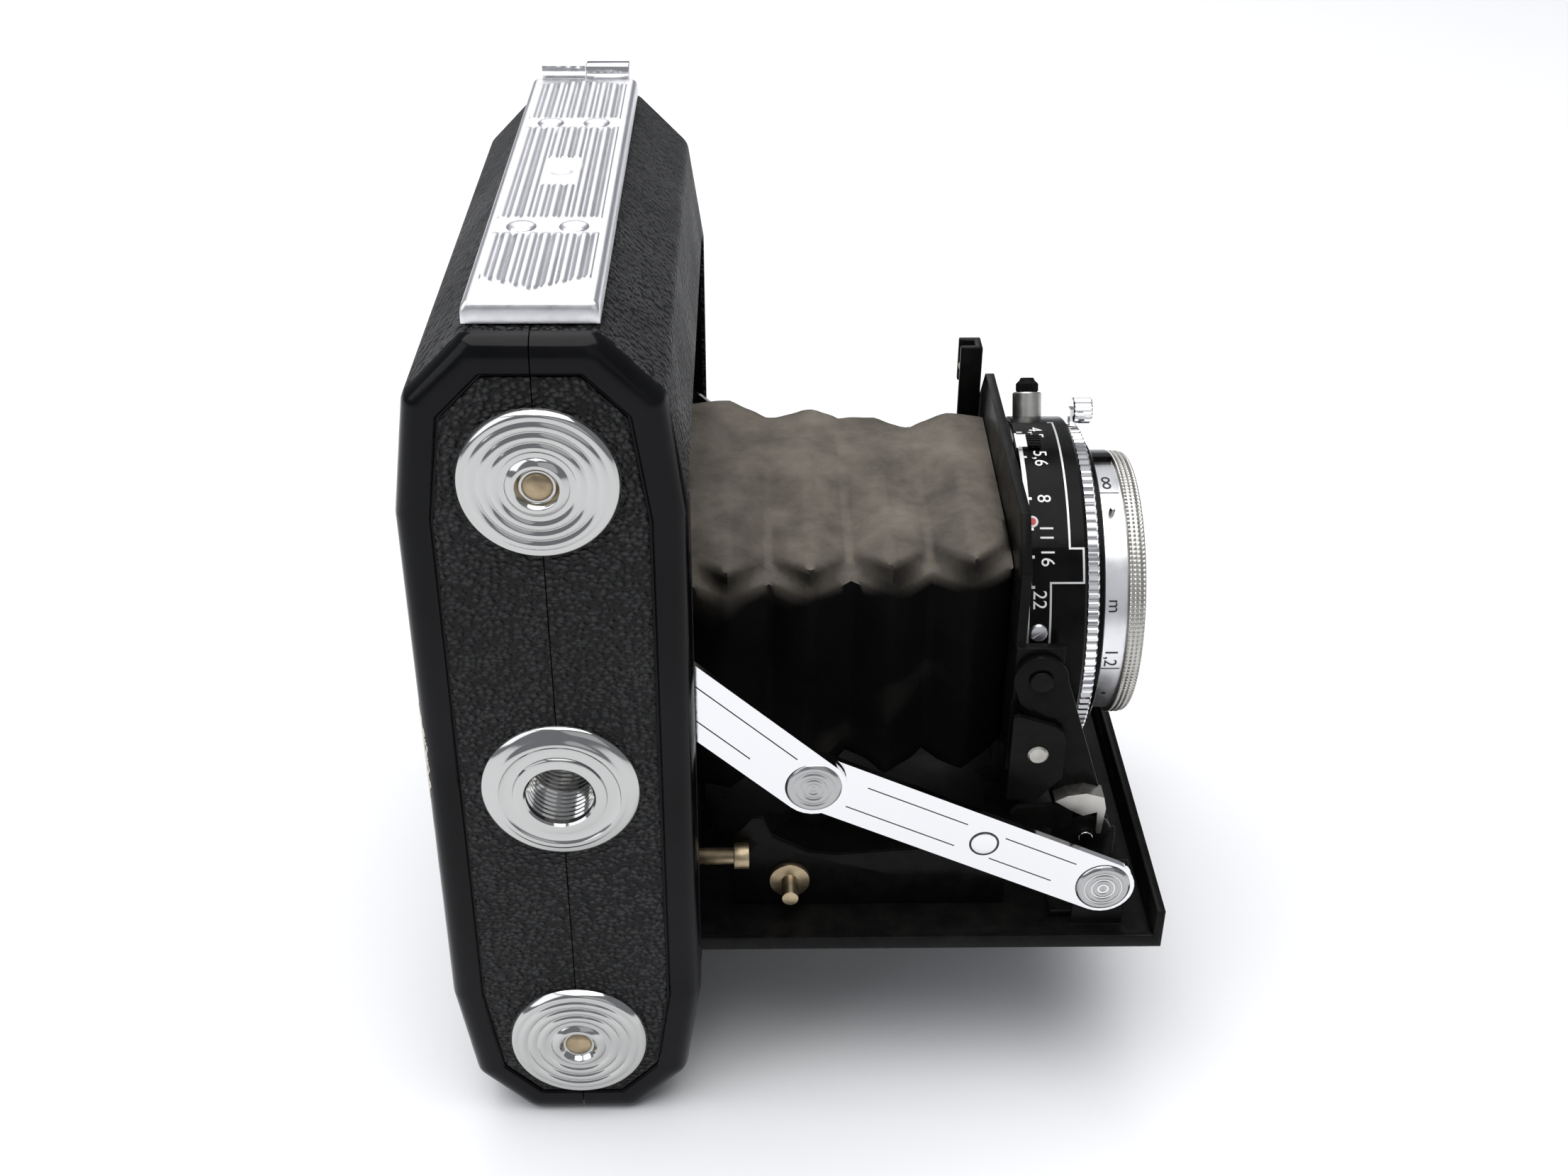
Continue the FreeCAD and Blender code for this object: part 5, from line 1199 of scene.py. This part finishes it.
# ------------------------------------------------------------------ top face and back
def make_top():
    low, high = span("winding_knob")
    z = SPOOL_TOP
    face, end = HALF_WIDTH + 0.3, high.y
    radius = (high.x - low.x) / 2
    teeth = 60

    def mill(angle, r, height):
        return (r - 0.35 * (1 - min(1, 1 + cos(teeth * angle))) if r > radius - 0.25 else r), height

    body = [(0, low.y), (2.8, low.y), (2.8, face), (radius - 0.5, face), (radius, face + 0.4),
            (radius, end - 1.4),
            (radius - 0.5, end - 1.0), (radius - 1.2, end - 1.0), (radius - 1.6, end - 0.8), (radius - 1.9,
                                                                                              end - 0.1),
            (radius - 2.4, end), (2.6, end), (2.2, end - 0.5), (0, end - 0.5)]
    show(lathe("wind_knob", body, "Y", (0, 0, z), CHROME, teeth * 6, 30, mill), "knob", "chrome",
         "winding_knob")
    for node, body in (("release_button", "release"), ("bed_catch_button", "bed_catch")):
        low, high = span(node)
        r = (high.x - low.x) / 2
        dish = [(0, low.y), (r - 1.1, low.y), (r - 1.1, HALF_WIDTH + 0.6), (r, HALF_WIDTH + 0.9),
                (r, high.y - 0.7),
                (r - 0.25, high.y - 0.25), (r - 0.8, high.y), (r * 0.45, high.y - 0.35), (0, high.y - 0.45)]
        spot = (low + high) / 2
        show(lathe(node + "_cap", dish, "Y", (spot.x, 0, spot.z), CHROME, 64, 40), body, "chrome", node)
    eased("finder_base", "case", "black_lacquer", LACQUER, 0.2)
    eased("finder_front_frame", "finder_front", "chrome", CHROME, 0.12)
    eased("finder_rear_frame", "finder_rear", "chrome", CHROME, 0.12)
    eased("window_frame", "back", "black_lacquer", LACQUER, 0.15)
    eased("window_cover", "window_cover", "black_lacquer", LACQUER, 0.2)
    eased("film_window", "back", "red_window", RED_GLASS, 0.1)
    eased("latch_guides", "case", "steel", CHROME, 0.45)
    low, high = span("latch_guides")
    keeper = block("latch_keeper", (1.2 - LATCH_HIGH.x, HALF_WIDTH - 2.5, LENGTH - 0.2),
                   (-0.06, HALF_WIDTH, high.z),
                   CHROME, 0.45, 3)
    show(keeper, "back", "chrome")


# ------------------------------------------------------------------ inside the case
def make_inside():
    for node, body, slot, material in (
            ("film_gate", "case", "black_alloy", INNER), ("film_rollers", "case", "steel", NICKEL),
            ("supply_spool_pin", "case", "chrome", CHROME), ("take_up_spool", "take_up", "black_wood", PINE),
            ("supply_spool", "supply", "black_wood", PINE), ("pressure_plate", "back", "black_lacquer",
                                                             INNER),
            ("pressure_springs", "back", "steel", STEEL), ("rear_strut_pivots", "case", "steel", STEEL),
            ("back_hinge_pin", "case", "steel", STEEL)):
        eased(node, body, slot, material, 0.12)


make_struts()
make_bellows()
make_housing()
make_scale()
make_rings()
make_glass()
make_controls()
make_standard()
make_bed()
make_top()
make_inside()


# ------------------------------------------------------------------ stage, light and camera
def area_light(name, power, size, spot, aim, colour=(1, 1, 1)):
    data = bpy.data.lights.new(name, "AREA")
    data.energy, data.shape, data.size, data.size_y = power, "RECTANGLE", *size
    data.color = colour
    lamp = bpy.data.objects.new(name, data)
    lamp.location = spot
    lamp.rotation_euler = (Vector(aim) - Vector(spot)).to_track_quat("-Z", "Y").to_euler()
    bpy.context.scene.collection.objects.link(lamp)


def make_stage():
    bm = bmesh.new()
    bmesh.ops.create_grid(bm, x_segments=1, y_segments=1, size=4)
    floor = finish_mesh("floor", bm, None)
    material, tree, shader = new_material("pale_paper")
    shader.inputs["Roughness"].default_value = 0.75
    feed(tree, shader, "Base Color", noise_of(tree, 3),
         [(0.3, (0.8, 0.8, 0.81, 1)), (0.8, (0.83, 0.83, 0.84, 1))])
    floor.data.materials.append(material)
    world = bpy.data.worlds.new("studio")
    world.use_nodes = True
    world.node_tree.nodes["Background"].inputs[0].default_value = (0.9, 0.93, 1.0, 1)
    world.node_tree.nodes["Background"].inputs[1].default_value = 0.3
    bpy.context.scene.world = world
    area_light("ceiling", 26, (1.7, 1.4), (-0.05, -0.05, 1.35), (0.02, 0, 0.05))
    area_light("back_sheet", 4.2, (0.9, 1.1), (-0.1, 1.5, 1.0), (0, 0, 0.1))
    area_light("left_window", 5, (0.9, 1.0), (-1.0, -0.5, 0.8), (0, 0, 0.06), (0.95, 0.97, 1))
    area_light("front_fill", 0.9, (1.0, 0.8), (0.5, -1.2, 0.7), (0.02, 0, 0.06))


CAMERA_PLACE = (22.9, -216.5, 193.5)
CAMERA_YAW, CAMERA_PITCH, CAMERA_ROLL, CAMERA_FIELD = 1.243, 32.145, 0.431, 46.44
SENSOR = 36


def make_camera():
    yaw, pitch, roll = radians(CAMERA_YAW), radians(CAMERA_PITCH), radians(CAMERA_ROLL)
    data = bpy.data.cameras.new("view")
    data.sensor_width, data.lens = SENSOR, SENSOR / (2 * math.tan(radians(CAMERA_FIELD) / 2))
    data.clip_start, data.clip_end = 0.01, 20
    camera = bpy.data.objects.new("view", data)
    turn = Matrix.Rotation(-yaw, 4, "Z") @ Matrix.Rotation(pi / 2 - pitch, 4, "X") @ Matrix.Rotation(roll, 4,
                                                                                                     "Z")
    camera.matrix_world = Matrix.Translation(Vector(CAMERA_PLACE) * MM) @ turn
    bpy.context.scene.collection.objects.link(camera)
    bpy.context.scene.camera = camera


make_stage()
make_camera()
bpy.context.scene.view_settings.view_transform = "Standard"
